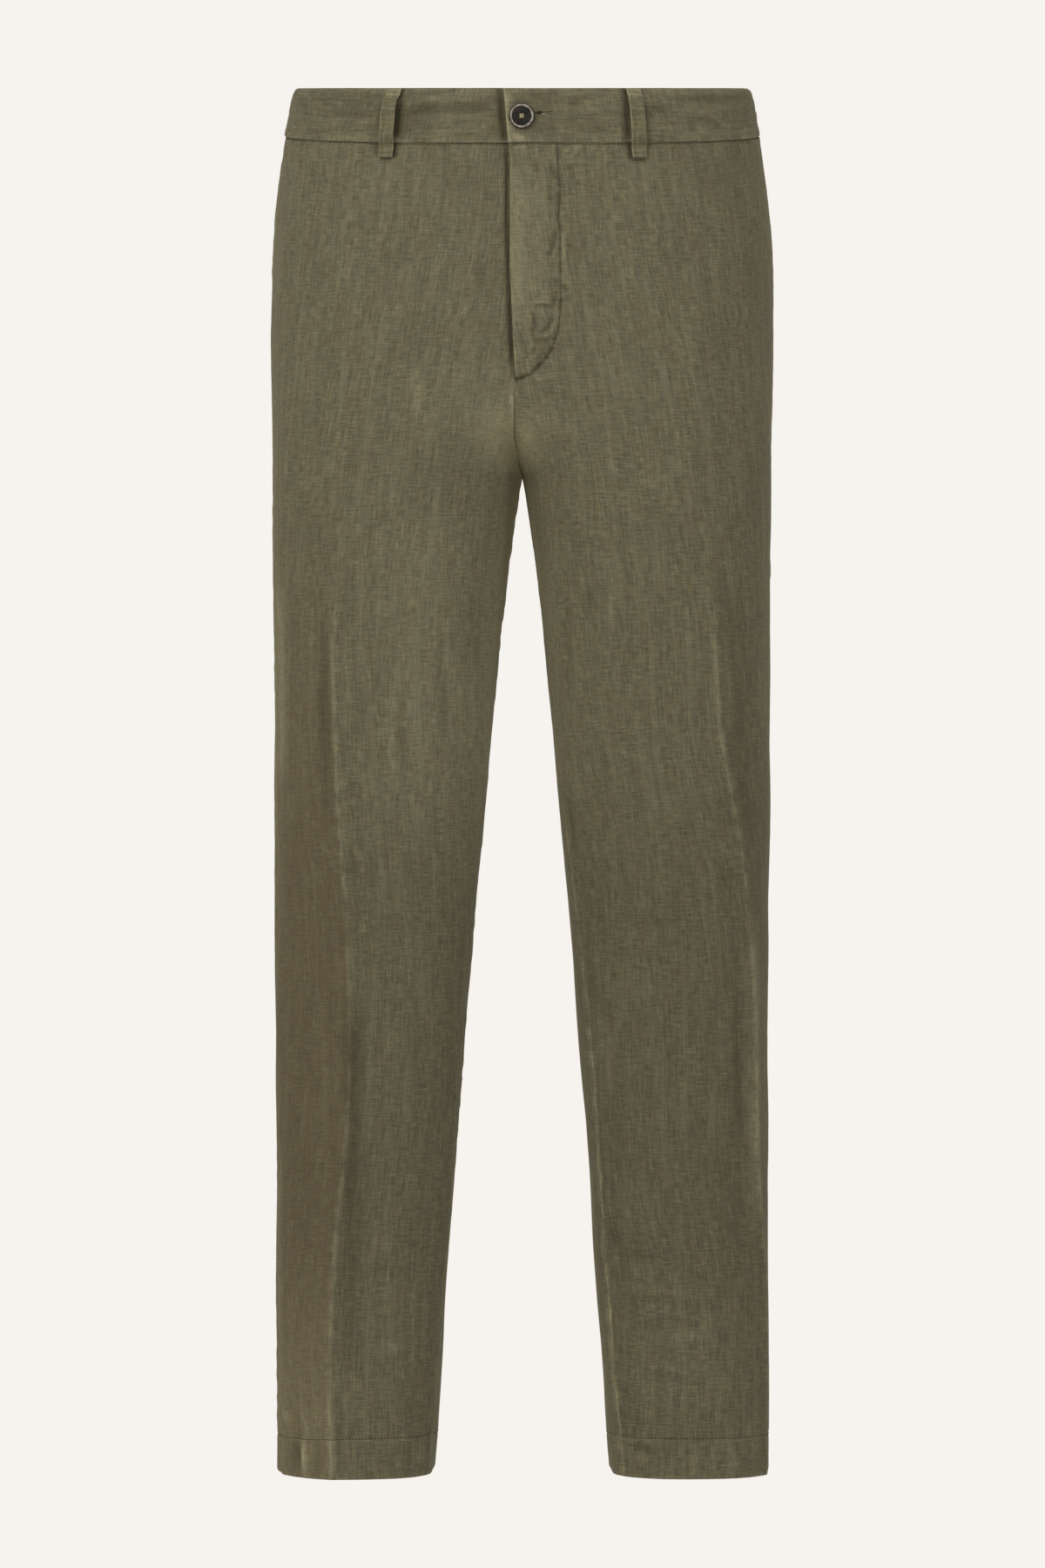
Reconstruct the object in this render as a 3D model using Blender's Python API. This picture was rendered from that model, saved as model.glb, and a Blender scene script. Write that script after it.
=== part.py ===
"""Linen chinos, filled out as worn by a general figure, open at the waist and the hems.

The origin is the middle of the waist opening, level with its edge at the side seams. +Z is up, the
front faces -Y, and the wearer's left is +X. All sizes are in metres, and the tables are in millimetres.

Every level of a leg or of the seat is one closed section, made of four quarter superellipses: inner
front, outer front, outer back and inner back. A panel is the part of these sections between two seams,
given a wall on its inner side.
"""
import bpy
import bmesh
import numpy as np
from math import pi

MM = 0.001

# ---------------------------------------------------------------- driving sizes

WAIST_TO_HEM = 1.065          # outseam with the waistband
WAIST_TO_CROTCH = 0.300       # rise, so that the inseam is 0.765
CLOTH_WALL = 1.3 * MM         # linen with its seam allowance pressed to it
HEM_WALL = 2.6 * MM           # turned up double
HEM_HEIGHT = 30 * MM
SEAM_GAP = 0.3 * MM

BAND_WALL = 2.4 * MM          # two layers of cloth on interlining
BAND_PROUD = 0.8 * MM         # outer face of the waistband beyond the panels
BAND_HEIGHT_SIDE = 36.5 * MM
BAND_HEIGHT_GAIN = 4.5 * MM   # the band is this much higher at centre front and back
WAIST_DEPTH_HALF = 101 * MM
WAIST_TILT = 0.1247           # rise of the waist edge for each metre towards the back
TILT_EASES = 0.060            # levels between which the tilted sections come to lie flat
TILT_ENDS = 0.230
BAND_EASE_ENDS = 0.200        # level where the band's extra height has been taken up

TAB_END_TOP = -14.2 * MM      # the left waistband's end, past centre front
TAB_END_BOTTOM = -10.6 * MM
UNDER_END = 14.0 * MM         # the right waistband's end under the tab
TAB_LIFT = 2.8 * MM
TAB_LIFT_FROM = 30 * MM
TAB_LIFT_FULL = 16 * MM
FLY_LIFT = 1.6 * MM           # the left front over the right front's underlap
FLY_LIFT_RAMP = 9 * MM
FLY_FADE_TOP = 0.229          # levels between which the lap runs out at the foot of the fly
FLY_FOOT = 0.235
FLY_FADE_BOTTOM = 0.241
FLY_UNDERLAP = 4.0 * MM
UNDERLAP_NARROWS = 0.180      # from here down to the next level the underlap narrows to the seam
UNDERLAP_ENDS = 0.205
FLY_FOOT_ROWS = (UNDERLAP_NARROWS, UNDERLAP_ENDS, FLY_FADE_TOP, FLY_FOOT, FLY_FADE_BOTTOM)

CROTCH_DEPTH = -12 * MM       # where the four leg panels meet, in front of the side line
CROTCH_FLARE = 0.20           # how fast each leg's inner line runs out from centre at the crotch
FRONT_JOIN = 16 * MM          # above the crotch the two legs run together, in about this height
BACK_JOIN = 21 * MM
NORMAL_STEP = 0.5 * MM        # level difference that a panel's normals are read from

SECTION_SQUARENESS = 2.30     # 2 is an ellipse, more is squarer
CREASE_HALF_WIDTH = 42 * MM
CREASE_POWER = 1.7
FOLD_CLEAR = 20 * MM          # folds run out in this distance from a seam

ARC_POINTS = 49
TORSO_ROWS = 22
TORSO_ROW_POWER = 0.8
LEG_ROWS = 20
LEG_ROW_POWER = 1.35
ABOVE_CROTCH = 0.05 * MM      # the last row of the seat and the first row of the leg
BELOW_CROTCH = 0.5 * MM
HEM_STEP = 1 * MM             # the wall steps up to the turned hem in this height
NEAR_SEAM_COLUMNS = (0, 13 * MM, 27 * MM)
INNER_COLUMNS = 5             # from those to the pressed crease
OUTER_COLUMNS = 7             # from the pressed crease to the side seam
TAB_COLUMNS = 6               # at the waistband's end
BAND_COLUMNS = 32             # from there round to centre back
BAND_ROWS = 4
SHARP_EDGE = pi / 4

# Each leg's outline by level. level: below the waist. outer: side line from centre. front and back:
# depth on each side of the side line. middle: distance from centre of the foremost point.
SECTION_COLUMNS = ("level", "outer", "front", "back", "middle")
SECTIONS = [
    (0, 175.8, 101.0, 101.0, 40),
    (40, 182.5, 103.5, 107.0, 48),
    (100, 189.8, 109.0, 121.0, 62),
    (160, 192.6, 112.0, 130.0, 74),
    (220, 192.8, 112.0, 131.0, 83),
    (260, 192.2, 110.0, 127.0, 88),
    (300, 191.7, 107.0, 118.0, 92),
    (340, 191.6, 103.0, 108.0, 96),
    (400, 191.3, 95.0, 95.0, 100),
    (470, 190.9, 85.0, 82.0, 104),
    (550, 190.6, 75.0, 70.0, 108),
    (620, 190.2, 68.0, 63.5, 111),
    (700, 189.8, 63.0, 60.0, 115),
    (800, 189.6, 60.0, 59.0, 119),
    (900, 188.9, 58.0, 59.0, 122),
    (1000, 188.9, 56.5, 58.5, 126),
    (1065, 188.7, 56.0, 58.0, 128),
]

# Half of the gap between the legs by level.
LEG_GAP_COLUMNS = ("level", "inner")
LEG_GAP = [
    (300, 0.0),
    (308, 1.7),
    (328, 4.7),
    (380, 11.4),
    (469, 20.8),
    (600, 33.0),
    (700, 41.1),
    (800, 48.7),
    (900, 56.1),
    (1000, 63.0),
    (1065, 67.0),
]

# Centre front: edge is the x of the fly's edge and of the seam below it, stitch is the x of the fly's
# outer stitching, which bends in to meet the edge at the foot of the fly.
FLY_COLUMNS = ("level", "edge", "stitch")
FLY = [
    (36, -10.6, 27.0),
    (50, -9.3, 27.0),
    (140, -9.4, 27.0),
    (200, -7.0, 26.5),
    (224, -5.9, 14.5),
    (235, -5.4, -5.0),
    (243, -7.0, -7.0),
    (275, -6.0, -6.0),
    (290, -2.8, -2.8),
    (300, 0.0, 0.0),
]

# The pressed creases, for the wearer's right and left leg. front and back: distance from centre.
# height: how far the crease stands out. inseam and outseam: how far each seam has turned to the front.
LEG_COLUMNS = ("level", "front", "back", "height", "inseam", "outseam")
RIGHT_LEG = [
    (0, 92, 70, 0.0, 0, 0),
    (160, 110, 92, 0.0, 0, 0),
    (300, 131, 112, 0.0, 0, 4),
    (405, 141, 121, 2.5, 2, 13),
    (543, 139, 122, 4.0, 4, 14),
    (651, 132, 124, 4.5, 7, 14),
    (806, 133, 125, 4.5, 12, 14),
    (885, 141, 124, 4.5, 16, 12),
    (971, 145, 126, 4.0, 20, 8),
    (1065, 144, 130, 3.5, 25, 6),
]
LEFT_LEG = [
    (0, 86, 70, 0.0, 0, 0),
    (160, 108, 92, 0.0, 0, 0),
    (300, 132, 110, 0.0, 0, -4),
    (405, 143, 116, 2.0, 10, -8),
    (500, 149, 114, 3.5, 18, -10),
    (576, 162, 112, 4.5, 24, -12),
    (675, 172, 111, 4.5, 30, -14),
    (830, 177, 112, 4.0, 31, -14),
    (900, 183, 115, 3.0, 30, -12),
    (1065, 184, 120, 2.0, 36, -10),
]

# The largest folds in the cloth. from_crease: along the cloth from the pressed crease, towards the
# side seam when positive. half_length and half_width: along and across the fold. slant: sideways run
# for each unit down. depth: into the cloth.
FOLD_COLUMNS = ("panel", "level", "from_crease", "half_length", "half_width", "slant", "depth")
FOLDS = [
    ("front_right", 1020, 22, 60, 9, -0.10, 2.6),
    ("front_right", 1030, 40, 70, 8, 0.05, 2.2),
    ("front_right", 250, -95, 60, 14, 0.60, 1.8),
    ("front_left", 250, -95, 60, 14, 0.60, 1.8),
    ("front_right", 560, -40, 120, 16, 0.15, 1.8),
    ("front_left", 620, -60, 110, 16, -0.12, 1.8),
    ("back_right", 330, -40, 26, 60, 0.0, 3.5),
    ("back_left", 326, -45, 26, 60, 0.0, 3.5),
    ("back_right", 600, -10, 24, 55, 0.0, 2.6),
    ("back_left", 590, -20, 24, 55, 0.0, 2.6),
    ("back_right", 660, 10, 22, 50, 0.0, 2.2),
    ("back_left", 655, 0, 22, 50, 0.0, 2.2),
    ("back_right", 900, 15, 130, 14, 0.06, 2.4),
    ("back_left", 880, -25, 130, 14, -0.06, 2.4),
]

# ---------------------------------------------------------------- belt loops and button

BAND_STEP = 2 * MM            # height in which a loop steps from the band down to the panel
LOOP_WIDTH = 10.5 * MM
LOOP_WALL = 1.6 * MM
LOOP_LENGTH = 49.3 * MM       # in the side line's levels: 54 mm of strip
LOOP_SEAT = 0.5 * MM          # clearance where the loop is sewn down
LOOP_STAND_OFF = 6.8 * MM     # clearance for a belt
LOOP_STATIONS = 19
LOOP_SEWN_TOP = 0.10          # share of the length sewn down at each end
LOOP_SEWN_BOTTOM = 0.12
LOOP_RISE = 0.24              # share of the length in which the loop leaves the band

# side: -1 is the wearer's right. face: front or back. top and bottom: distance from centre.
LOOP_COLUMNS = ("name", "side", "face", "top", "bottom")
BELT_LOOPS = [
    ("belt_loop_front_right", -1, "front", 95.7, 102.9),
    ("belt_loop_front_left", 1, "front", 83.9, 88.3),
    ("belt_loop_back_right", -1, "back", 112.0, 114.0),
    ("belt_loop_back_left", 1, "back", 112.0, 114.0),
    ("belt_loop_centre_back", 1, "back", 0.0, 0.0),
]

BUTTON_X = -0.5 * MM
BUTTON_LEVEL = 18.5 * MM      # in the side line's levels: 21 mm below the band's edge
BUTTON_STAND = 0.4 * MM       # clear of the tab
BUTTON_SEGMENTS = 40
BUTTON_HOLE = 1.9 * MM
BUTTON_HOLE_SPACING = 3.3 * MM
HOLE_SEGMENTS = 12
DRILL_LENGTH = 10 * MM

# The button's turned profile, from the middle of its back round to the middle of its dished face.
# radius: from its axis. out: in front of its back.
BUTTON_PROFILE_COLUMNS = ("radius", "out")
BUTTON_PROFILE = [
    (0.0, 0.0),
    (6.0, 0.0),
    (9.0, 1.0),
    (9.7, 1.9),
    (9.6, 2.9),
    (8.4, 3.4),
    (7.1, 2.7),
    (5.5, 2.3),
    (0.0, 2.3),
]


# ---------------------------------------------------------------- tables and easing

def smoothstep(low, high, value):
    """0 below low, 1 above high, with level ends."""
    t = np.clip((value - low) / (high - low), 0.0, 1.0)
    return t * t * (3 - 2 * t)


def read_table(rows, names, column, level):
    """A column of a table at any level, on a smooth curve through its rows, in metres."""
    levels = np.array([row[0] for row in rows]) * MM
    values = np.array([row[names.index(column)] for row in rows]) * MM
    slopes = np.gradient(values, levels)
    level = np.clip(level, levels[0], levels[-1])
    i = np.clip(np.searchsorted(levels, level) - 1, 0, len(levels) - 2)
    span = levels[i + 1] - levels[i]
    t = (level - levels[i]) / span
    start = values[i] * (1 + 2 * t) * (1 - t) ** 2 + slopes[i] * span * t * (1 - t) ** 2
    end = values[i + 1] * t * t * (3 - 2 * t) + slopes[i + 1] * span * t * t * (t - 1)
    return start + end


def section_value(column, level):
    return read_table(SECTIONS, SECTION_COLUMNS, column, level)


def fly_value(column, level):
    """The fly's table is read with straight runs, because its seams have corners."""
    levels = [row[0] * MM for row in FLY]
    values = [row[FLY_COLUMNS.index(column)] * MM for row in FLY]
    return np.interp(level, levels, values)


def leg_value(side, column, level):
    rows = RIGHT_LEG if side < 0 else LEFT_LEG
    return read_table(rows, LEG_COLUMNS, column, level)


def height_at(level, depth):
    """The z of a point whose section is this far down the side seam, at this depth (y)."""
    tilt = WAIST_TILT * (1 - smoothstep(TILT_EASES, TILT_ENDS, level))
    growth = np.clip(level / BAND_HEIGHT_SIDE, 0, 1)
    growth = growth * (1 - smoothstep(BAND_HEIGHT_SIDE, BAND_EASE_ENDS, level))
    return -level - BAND_HEIGHT_GAIN * np.abs(depth) / WAIST_DEPTH_HALF * growth + tilt * depth


# ---------------------------------------------------------------- sections

def quarter(start, end, from_x=None):
    """A quarter superellipse that leaves start along y and reaches end along x, cut off at from_x."""
    power = 2 / SECTION_SQUARENESS
    first = 0.0
    if from_x is not None:
        first = np.arccos(((end[0] - from_x) / (end[0] - start[0])) ** (1 / power))
    angle = np.linspace(first, pi / 2, ARC_POINTS)
    x = end[0] - (end[0] - start[0]) * np.cos(angle) ** power
    y = start[1] + (end[1] - start[1]) * np.sin(angle) ** power
    return np.column_stack((x, y))


def past_centre(level, join):
    """How far a leg's inner line would run past the centre seam above the crotch."""
    return CROTCH_FLARE * join * (np.exp((WAIST_TO_CROTCH - level) / join) - 1)


def half_section(level, front_start, back_start):
    """One half of the body or one leg at a level, as two runs of points in (outward x, y).

    The front run goes from the inner or centre seam to the side line, and the back run goes on from
    there to the inner or centre seam. Above the crotch each leg is cut off at centre, by the other
    one: front_start and back_start are the x of that cut.
    """
    outer = section_value("outer", level)
    middle = section_value("middle", level)
    front = -section_value("front", level)
    back = section_value("back", level)
    depth = CROTCH_DEPTH * (1 - smoothstep(WAIST_TO_CROTCH, WAIST_TO_HEM, level))
    if level < WAIST_TO_CROTCH:
        front_inner = (front_start - past_centre(level, FRONT_JOIN), depth)
        back_inner = (back_start - past_centre(level, BACK_JOIN), depth)
        inner_front = quarter(front_inner, (middle, front), front_start)
        inner_back = quarter(back_inner, (middle, back), back_start)
    else:
        inner = read_table(LEG_GAP, LEG_GAP_COLUMNS, "inner", level) + SEAM_GAP / 2
        inner_front = quarter((inner, depth), (middle, front))
        inner_back = quarter((inner, depth), (middle, back))
    outer_front = quarter((outer, 0.0), (middle, front))[::-1]
    outer_back = quarter((outer, 0.0), (middle, back))
    front_run = np.vstack((inner_front, outer_front[1:]))
    back_run = np.vstack((outer_back, inner_back[::-1][1:]))
    return front_run, back_run


def travel(points):
    """Distance along a run of points."""
    steps = np.hypot(*np.diff(points, axis=0).T)
    return np.concatenate(([0.0], np.cumsum(steps)))


def outward(points):
    """Unit normals of a run that goes round the section, pointing out of it."""
    along = np.gradient(points, axis=0)
    along = along / np.maximum(np.hypot(along[:, 0], along[:, 1]), 1e-12)[:, None]
    return np.column_stack((along[:, 1], -along[:, 0]))


def fold_offset(panel, level, from_crease):
    """How far the largest folds move the cloth out at this level."""
    offset = np.zeros_like(from_crease)
    for row in FOLDS:
        fold = dict(zip(FOLD_COLUMNS, row))
        if fold["panel"] != panel:
            continue
        down = level - fold["level"] * MM
        across = from_crease - fold["from_crease"] * MM - fold["slant"] * down
        shape = np.exp(-(across / (fold["half_width"] * MM)) ** 2)
        offset -= fold["depth"] * MM * shape * np.exp(-(down / (fold["half_length"] * MM)) ** 2)
    return offset


def panel_row(side, face, level):
    """The outer points of one leg panel at one level, from its inner seam to its side seam."""
    front_start = side * fly_value("edge", level) + SEAM_GAP / 2
    if side < 0:
        lap = smoothstep(UNDERLAP_NARROWS, UNDERLAP_ENDS, level)
        front_start = -FLY_UNDERLAP * (1 - lap) + front_start * lap
    front_run, back_run = half_section(level, front_start, SEAM_GAP / 2)
    loop = np.vstack((front_run, back_run[1:]))
    if level > WAIST_TO_CROTCH:
        loop = np.vstack((loop, front_run[1:ARC_POINTS]))
    distance = travel(loop)
    side_at = distance[len(front_run) - 1] - leg_value(side, "outseam", level)
    inseam = max(leg_value(side, "inseam", level), 0.0) if level > WAIST_TO_CROTCH else 0.0
    inner_gap = SEAM_GAP / 2 if level > WAIST_TO_CROTCH else 0.0
    if face == "front":
        start = inseam + inner_gap
        end = side_at - SEAM_GAP / 2
        crease_x = leg_value(side, "front", level)
        crease = np.interp(crease_x, front_run[:, 0], distance[:len(front_run)])
    else:
        start = distance[len(front_run) + len(back_run) - 2] + inseam - inner_gap
        end = side_at + SEAM_GAP / 2
        crease_x = leg_value(side, "back", level)
        back_distance = distance[len(front_run) - 1:len(front_run) + len(back_run) - 1]
        crease = np.interp(-crease_x, -back_run[:, 0], back_distance)
    toward = 1 if face == "front" else -1
    near_seam = start + toward * np.array(NEAR_SEAM_COLUMNS)
    inner_part = np.linspace(near_seam[-1], crease, INNER_COLUMNS + 1)
    outer_part = np.linspace(crease, end, OUTER_COLUMNS + 1)
    along = np.concatenate((near_seam, inner_part[1:], outer_part[1:]))
    x = np.interp(along, distance, loop[:, 0])
    y = np.interp(along, distance, loop[:, 1])
    normals = outward(loop)
    normal_x = np.interp(along, distance, normals[:, 0])
    normal_y = np.interp(along, distance, normals[:, 1])
    from_crease = (along - crease) * toward
    ridge = np.clip(1 - np.abs(from_crease) / CREASE_HALF_WIDTH, 0, 1) ** CREASE_POWER
    lift = leg_value(side, "height", level) * ridge
    name = face + ("_left" if side > 0 else "_right")
    from_seam = np.minimum(np.abs(along - start), np.abs(along - end))
    lift += fold_offset(name, level, from_crease) * smoothstep(0.0, FOLD_CLEAR, from_seam)
    if name == "front_left":
        stitch = fly_value("stitch", level)
        over = 1 - smoothstep(stitch - FLY_LIFT_RAMP, stitch, x)
        lift += FLY_LIFT * over * (1 - smoothstep(FLY_FADE_TOP, FLY_FADE_BOTTOM, level))
    height = height_at(level, y)
    x = x + normal_x * lift
    y = y + normal_y * lift
    return np.column_stack((side * x, y, height)), np.column_stack((side * normal_x, normal_y))


def slope_normals(points, flat_normals, upper, lower):
    """Unit normals of a row, from its normals in plan and the rows just above and below it.

    Only the part of the rise that is square to the row counts, so this holds at the crotch too,
    where the edge of a panel runs level.
    """
    across = np.column_stack((-flat_normals[:, 1], flat_normals[:, 0], np.zeros(len(points))))
    tilt = (height_at(0.0, points[:, 1] + MM) - height_at(0.0, points[:, 1])) / MM
    across[:, 2] = across[:, 1] * tilt * (points[:, 2] > -TILT_ENDS)
    across /= np.linalg.norm(across, axis=1, keepdims=True)
    rise = upper - lower
    rise -= across * np.sum(rise * across, axis=1, keepdims=True)
    normals = np.cross(across, rise)
    facing = np.sign(np.sum(normals[:, :2] * flat_normals, axis=1, keepdims=True))
    return normals * facing / np.linalg.norm(normals, axis=1, keepdims=True)


def panel_grid(side, face, levels):
    """Outer points and unit normals of a leg panel."""
    points = []
    normals = []
    for level in levels:
        away = -NORMAL_STEP if level < WAIST_TO_CROTCH else NORMAL_STEP
        row, flat = panel_row(side, face, level)
        near = panel_row(side, face, level + away)[0]
        upper, lower = (near, row) if away < 0 else (row, near)
        points.append(row)
        normals.append(slope_normals(row, flat, upper, lower))
    return np.array(points), np.array(normals)


# ---------------------------------------------------------------- meshes

def new_material(name, rgb, roughness, specular=0.5):
    material = bpy.data.materials.new(name)
    material.use_nodes = True
    shader = material.node_tree.nodes["Principled BSDF"]
    shader.inputs["Base Color"].default_value = (*rgb, 1.0)
    shader.inputs["Roughness"].default_value = roughness
    shader.inputs["Specular IOR Level"].default_value = specular
    shader.inputs["Metallic"].default_value = 0.0
    material.diffuse_color = (*rgb, 1.0)
    return material


def new_object(name, mesh, material, parent):
    mesh.materials.append(material)
    part = bpy.data.objects.new(name, mesh)
    bpy.context.scene.collection.objects.link(part)
    part.parent = parent
    return part


def wall_mesh(name, outer, normals, wall):
    """A closed wall behind a grid of outer points, cut level at its upper and lower edge.

    wall is its thickness for each row.
    """
    normals = normals.copy()
    normals[[0, -1], :, 2] = 0.0
    normals /= np.linalg.norm(normals, axis=2, keepdims=True)
    inner = outer - normals * np.asarray(wall)[:, None, None]
    rows, columns = outer.shape[:2]
    mesh = bpy.data.meshes.new(name)
    shape = bmesh.new()
    grids = []
    for layer in (outer, inner):
        grids.append([[shape.verts.new(point) for point in row] for row in layer])
    front, back = grids
    for r in range(rows - 1):
        for c in range(columns - 1):
            shape.faces.new((front[r][c], front[r][c + 1], front[r + 1][c + 1], front[r + 1][c]))
            shape.faces.new((back[r][c], back[r + 1][c], back[r + 1][c + 1], back[r][c + 1]))
    for r in range(rows - 1):
        for c in (0, columns - 1):
            shape.faces.new((front[r][c], front[r + 1][c], back[r + 1][c], back[r][c]))
    for c in range(columns - 1):
        for r in (0, rows - 1):
            shape.faces.new((front[r][c], front[r][c + 1], back[r][c + 1], back[r][c]))
    bmesh.ops.recalc_face_normals(shape, faces=shape.faces)
    shape.to_mesh(mesh)
    shape.free()
    mesh.shade_smooth()
    mesh.set_sharp_from_angle(angle=SHARP_EDGE)
    return mesh


# ---------------------------------------------------------------- leg panels

def panel_levels():
    """Levels of the rows of a leg panel, closest together at the crotch."""
    top = BAND_HEIGHT_SIDE + SEAM_GAP
    share = np.linspace(0, 1, TORSO_ROWS + 1)
    torso = top + (WAIST_TO_CROTCH - top) * np.sin(share * pi / 2) ** TORSO_ROW_POWER
    torso[-1] = WAIST_TO_CROTCH - ABOVE_CROTCH
    torso = np.sort(np.concatenate((torso, FLY_FOOT_ROWS)))
    hem_top = WAIST_TO_HEM - HEM_HEIGHT
    leg_start = WAIST_TO_CROTCH + BELOW_CROTCH
    share = np.linspace(0, 1, LEG_ROWS + 1)
    leg = leg_start + (hem_top - leg_start) * share ** LEG_ROW_POWER
    hem = (hem_top + HEM_STEP, WAIST_TO_HEM - HEM_HEIGHT / 2, WAIST_TO_HEM)
    return np.concatenate((torso, leg, hem))


def make_panel(side, face, material, parent):
    levels = panel_levels()
    points, normals = panel_grid(side, face, levels)
    wall = np.where(levels > WAIST_TO_HEM - HEM_HEIGHT, HEM_WALL, CLOTH_WALL)
    name = face + ("_left" if side > 0 else "_right")
    return new_object(name, wall_mesh(name, points, normals, wall), material, parent)


# ---------------------------------------------------------------- waistband

def band_run(level, start):
    """Outer points of half of the waistband at a level, from centre front to centre back."""
    front_run, back_run = half_section(level, start, SEAM_GAP / 2)
    run = np.vstack((front_run, back_run[1:]))
    return run, outward(run), travel(run)


def band_start(side, level):
    share = level / BAND_HEIGHT_SIDE
    if side > 0:
        return TAB_END_TOP + (TAB_END_BOTTOM - TAB_END_TOP) * share
    return -UNDER_END


def tab_lift(x):
    return TAB_LIFT * (1 - smoothstep(TAB_LIFT_FULL, TAB_LIFT_FROM, x))


def band_columns(distance, x):
    """Distances of the band's columns: even, with more of them in the tab's ramp."""
    front_end = np.interp(TAB_LIFT_FROM, x[:ARC_POINTS], distance[:ARC_POINTS])
    near = np.linspace(0, front_end, TAB_COLUMNS + 1)
    rest = np.linspace(front_end, distance[-1], BAND_COLUMNS + 1)
    return np.concatenate((near, rest[1:]))


def band_row(side, level):
    """Outer points of one half of the waistband at a level, with its normals in plan."""
    run, normals, distance = band_run(level, band_start(side, level))
    along = band_columns(distance, run[:, 0])
    x = np.interp(along, distance, run[:, 0])
    y = np.interp(along, distance, run[:, 1])
    normal_x = np.interp(along, distance, normals[:, 0])
    normal_y = np.interp(along, distance, normals[:, 1])
    lift = np.full_like(x, BAND_PROUD)
    if side > 0:
        lift += np.where(y < 0, tab_lift(x), 0.0)
    height = height_at(level, y)
    x = x + normal_x * lift
    y = y + normal_y * lift
    return np.column_stack((side * x, y, height)), np.column_stack((side * normal_x, normal_y))


def make_band(side, material, parent):
    points = []
    normals = []
    for level in np.linspace(0, BAND_HEIGHT_SIDE, BAND_ROWS + 1):
        row, flat = band_row(side, level)
        lower = band_row(side, level + NORMAL_STEP)[0]
        points.append(row)
        normals.append(slope_normals(row, flat, row, lower))
    name = "waistband_left" if side > 0 else "waistband_right"
    mesh = wall_mesh(name, np.array(points), np.array(normals), [BAND_WALL] * (BAND_ROWS + 1))
    return new_object(name, mesh, material, parent)


# ---------------------------------------------------------------- belt loops

def surface_point(side, face, x, level):
    """Point on the outer face of the band or of the panel under it, with its outward normal."""
    run, normals, _ = band_run(level, SEAM_GAP / 2)
    half = 2 * ARC_POINTS - 1
    rows = slice(0, half) if face == "front" else slice(half - 1, len(run))
    order = np.argsort(run[rows, 0])
    xs = run[rows, 0][order]
    y = np.interp(x, xs, run[rows, 1][order])
    normal = np.array([np.interp(x, xs, normals[rows, k][order]) for k in (0, 1)])
    normal = normal / np.hypot(*normal)
    proud = BAND_PROUD * (1 - smoothstep(BAND_HEIGHT_SIDE, BAND_HEIGHT_SIDE + BAND_STEP, level))
    place = np.array((x, y)) + normal * proud
    z = height_at(level, place[1])
    return np.array((side * place[0], place[1], z)), np.array((side * normal[0], normal[1], 0.0))


def loop_stand_off(share):
    """Clearance between the loop and the band along the loop, from its top (0) to its foot (1)."""
    leave = smoothstep(LOOP_SEWN_TOP, LOOP_SEWN_TOP + LOOP_RISE, share)
    land = 1 - smoothstep(1 - LOOP_SEWN_BOTTOM - LOOP_RISE, 1 - LOOP_SEWN_BOTTOM, share)
    return LOOP_SEAT + (LOOP_STAND_OFF - LOOP_SEAT) * np.minimum(leave, land)


def make_loop(row, material, parent):
    loop = dict(zip(LOOP_COLUMNS, row))
    shape = bmesh.new()
    rings = []
    for share in np.linspace(0, 1, LOOP_STATIONS):
        x = (loop["top"] + (loop["bottom"] - loop["top"]) * share) * MM
        level = share * LOOP_LENGTH
        place, normal = surface_point(loop["side"], loop["face"], x, level)
        across = np.cross(normal, (0, 0, 1.0))
        off = loop_stand_off(share)
        ring = []
        for out, sideways in ((0, -0.5), (0, 0.5), (1, 0.5), (1, -0.5)):
            point = place + normal * (off + out * LOOP_WALL) + across * sideways * LOOP_WIDTH
            ring.append(shape.verts.new(point))
        rings.append(ring)
    for upper, lower in zip(rings, rings[1:]):
        for k in range(4):
            n = (k + 1) % 4
            shape.faces.new((upper[k], upper[n], lower[n], lower[k]))
    shape.faces.new(rings[0])
    shape.faces.new(rings[-1])
    bmesh.ops.recalc_face_normals(shape, faces=shape.faces)
    mesh = bpy.data.meshes.new(loop["name"])
    shape.to_mesh(mesh)
    shape.free()
    mesh.shade_smooth()
    mesh.set_sharp_from_angle(angle=SHARP_EDGE)
    return new_object(loop["name"], mesh, material, parent)


# ---------------------------------------------------------------- button

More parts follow.
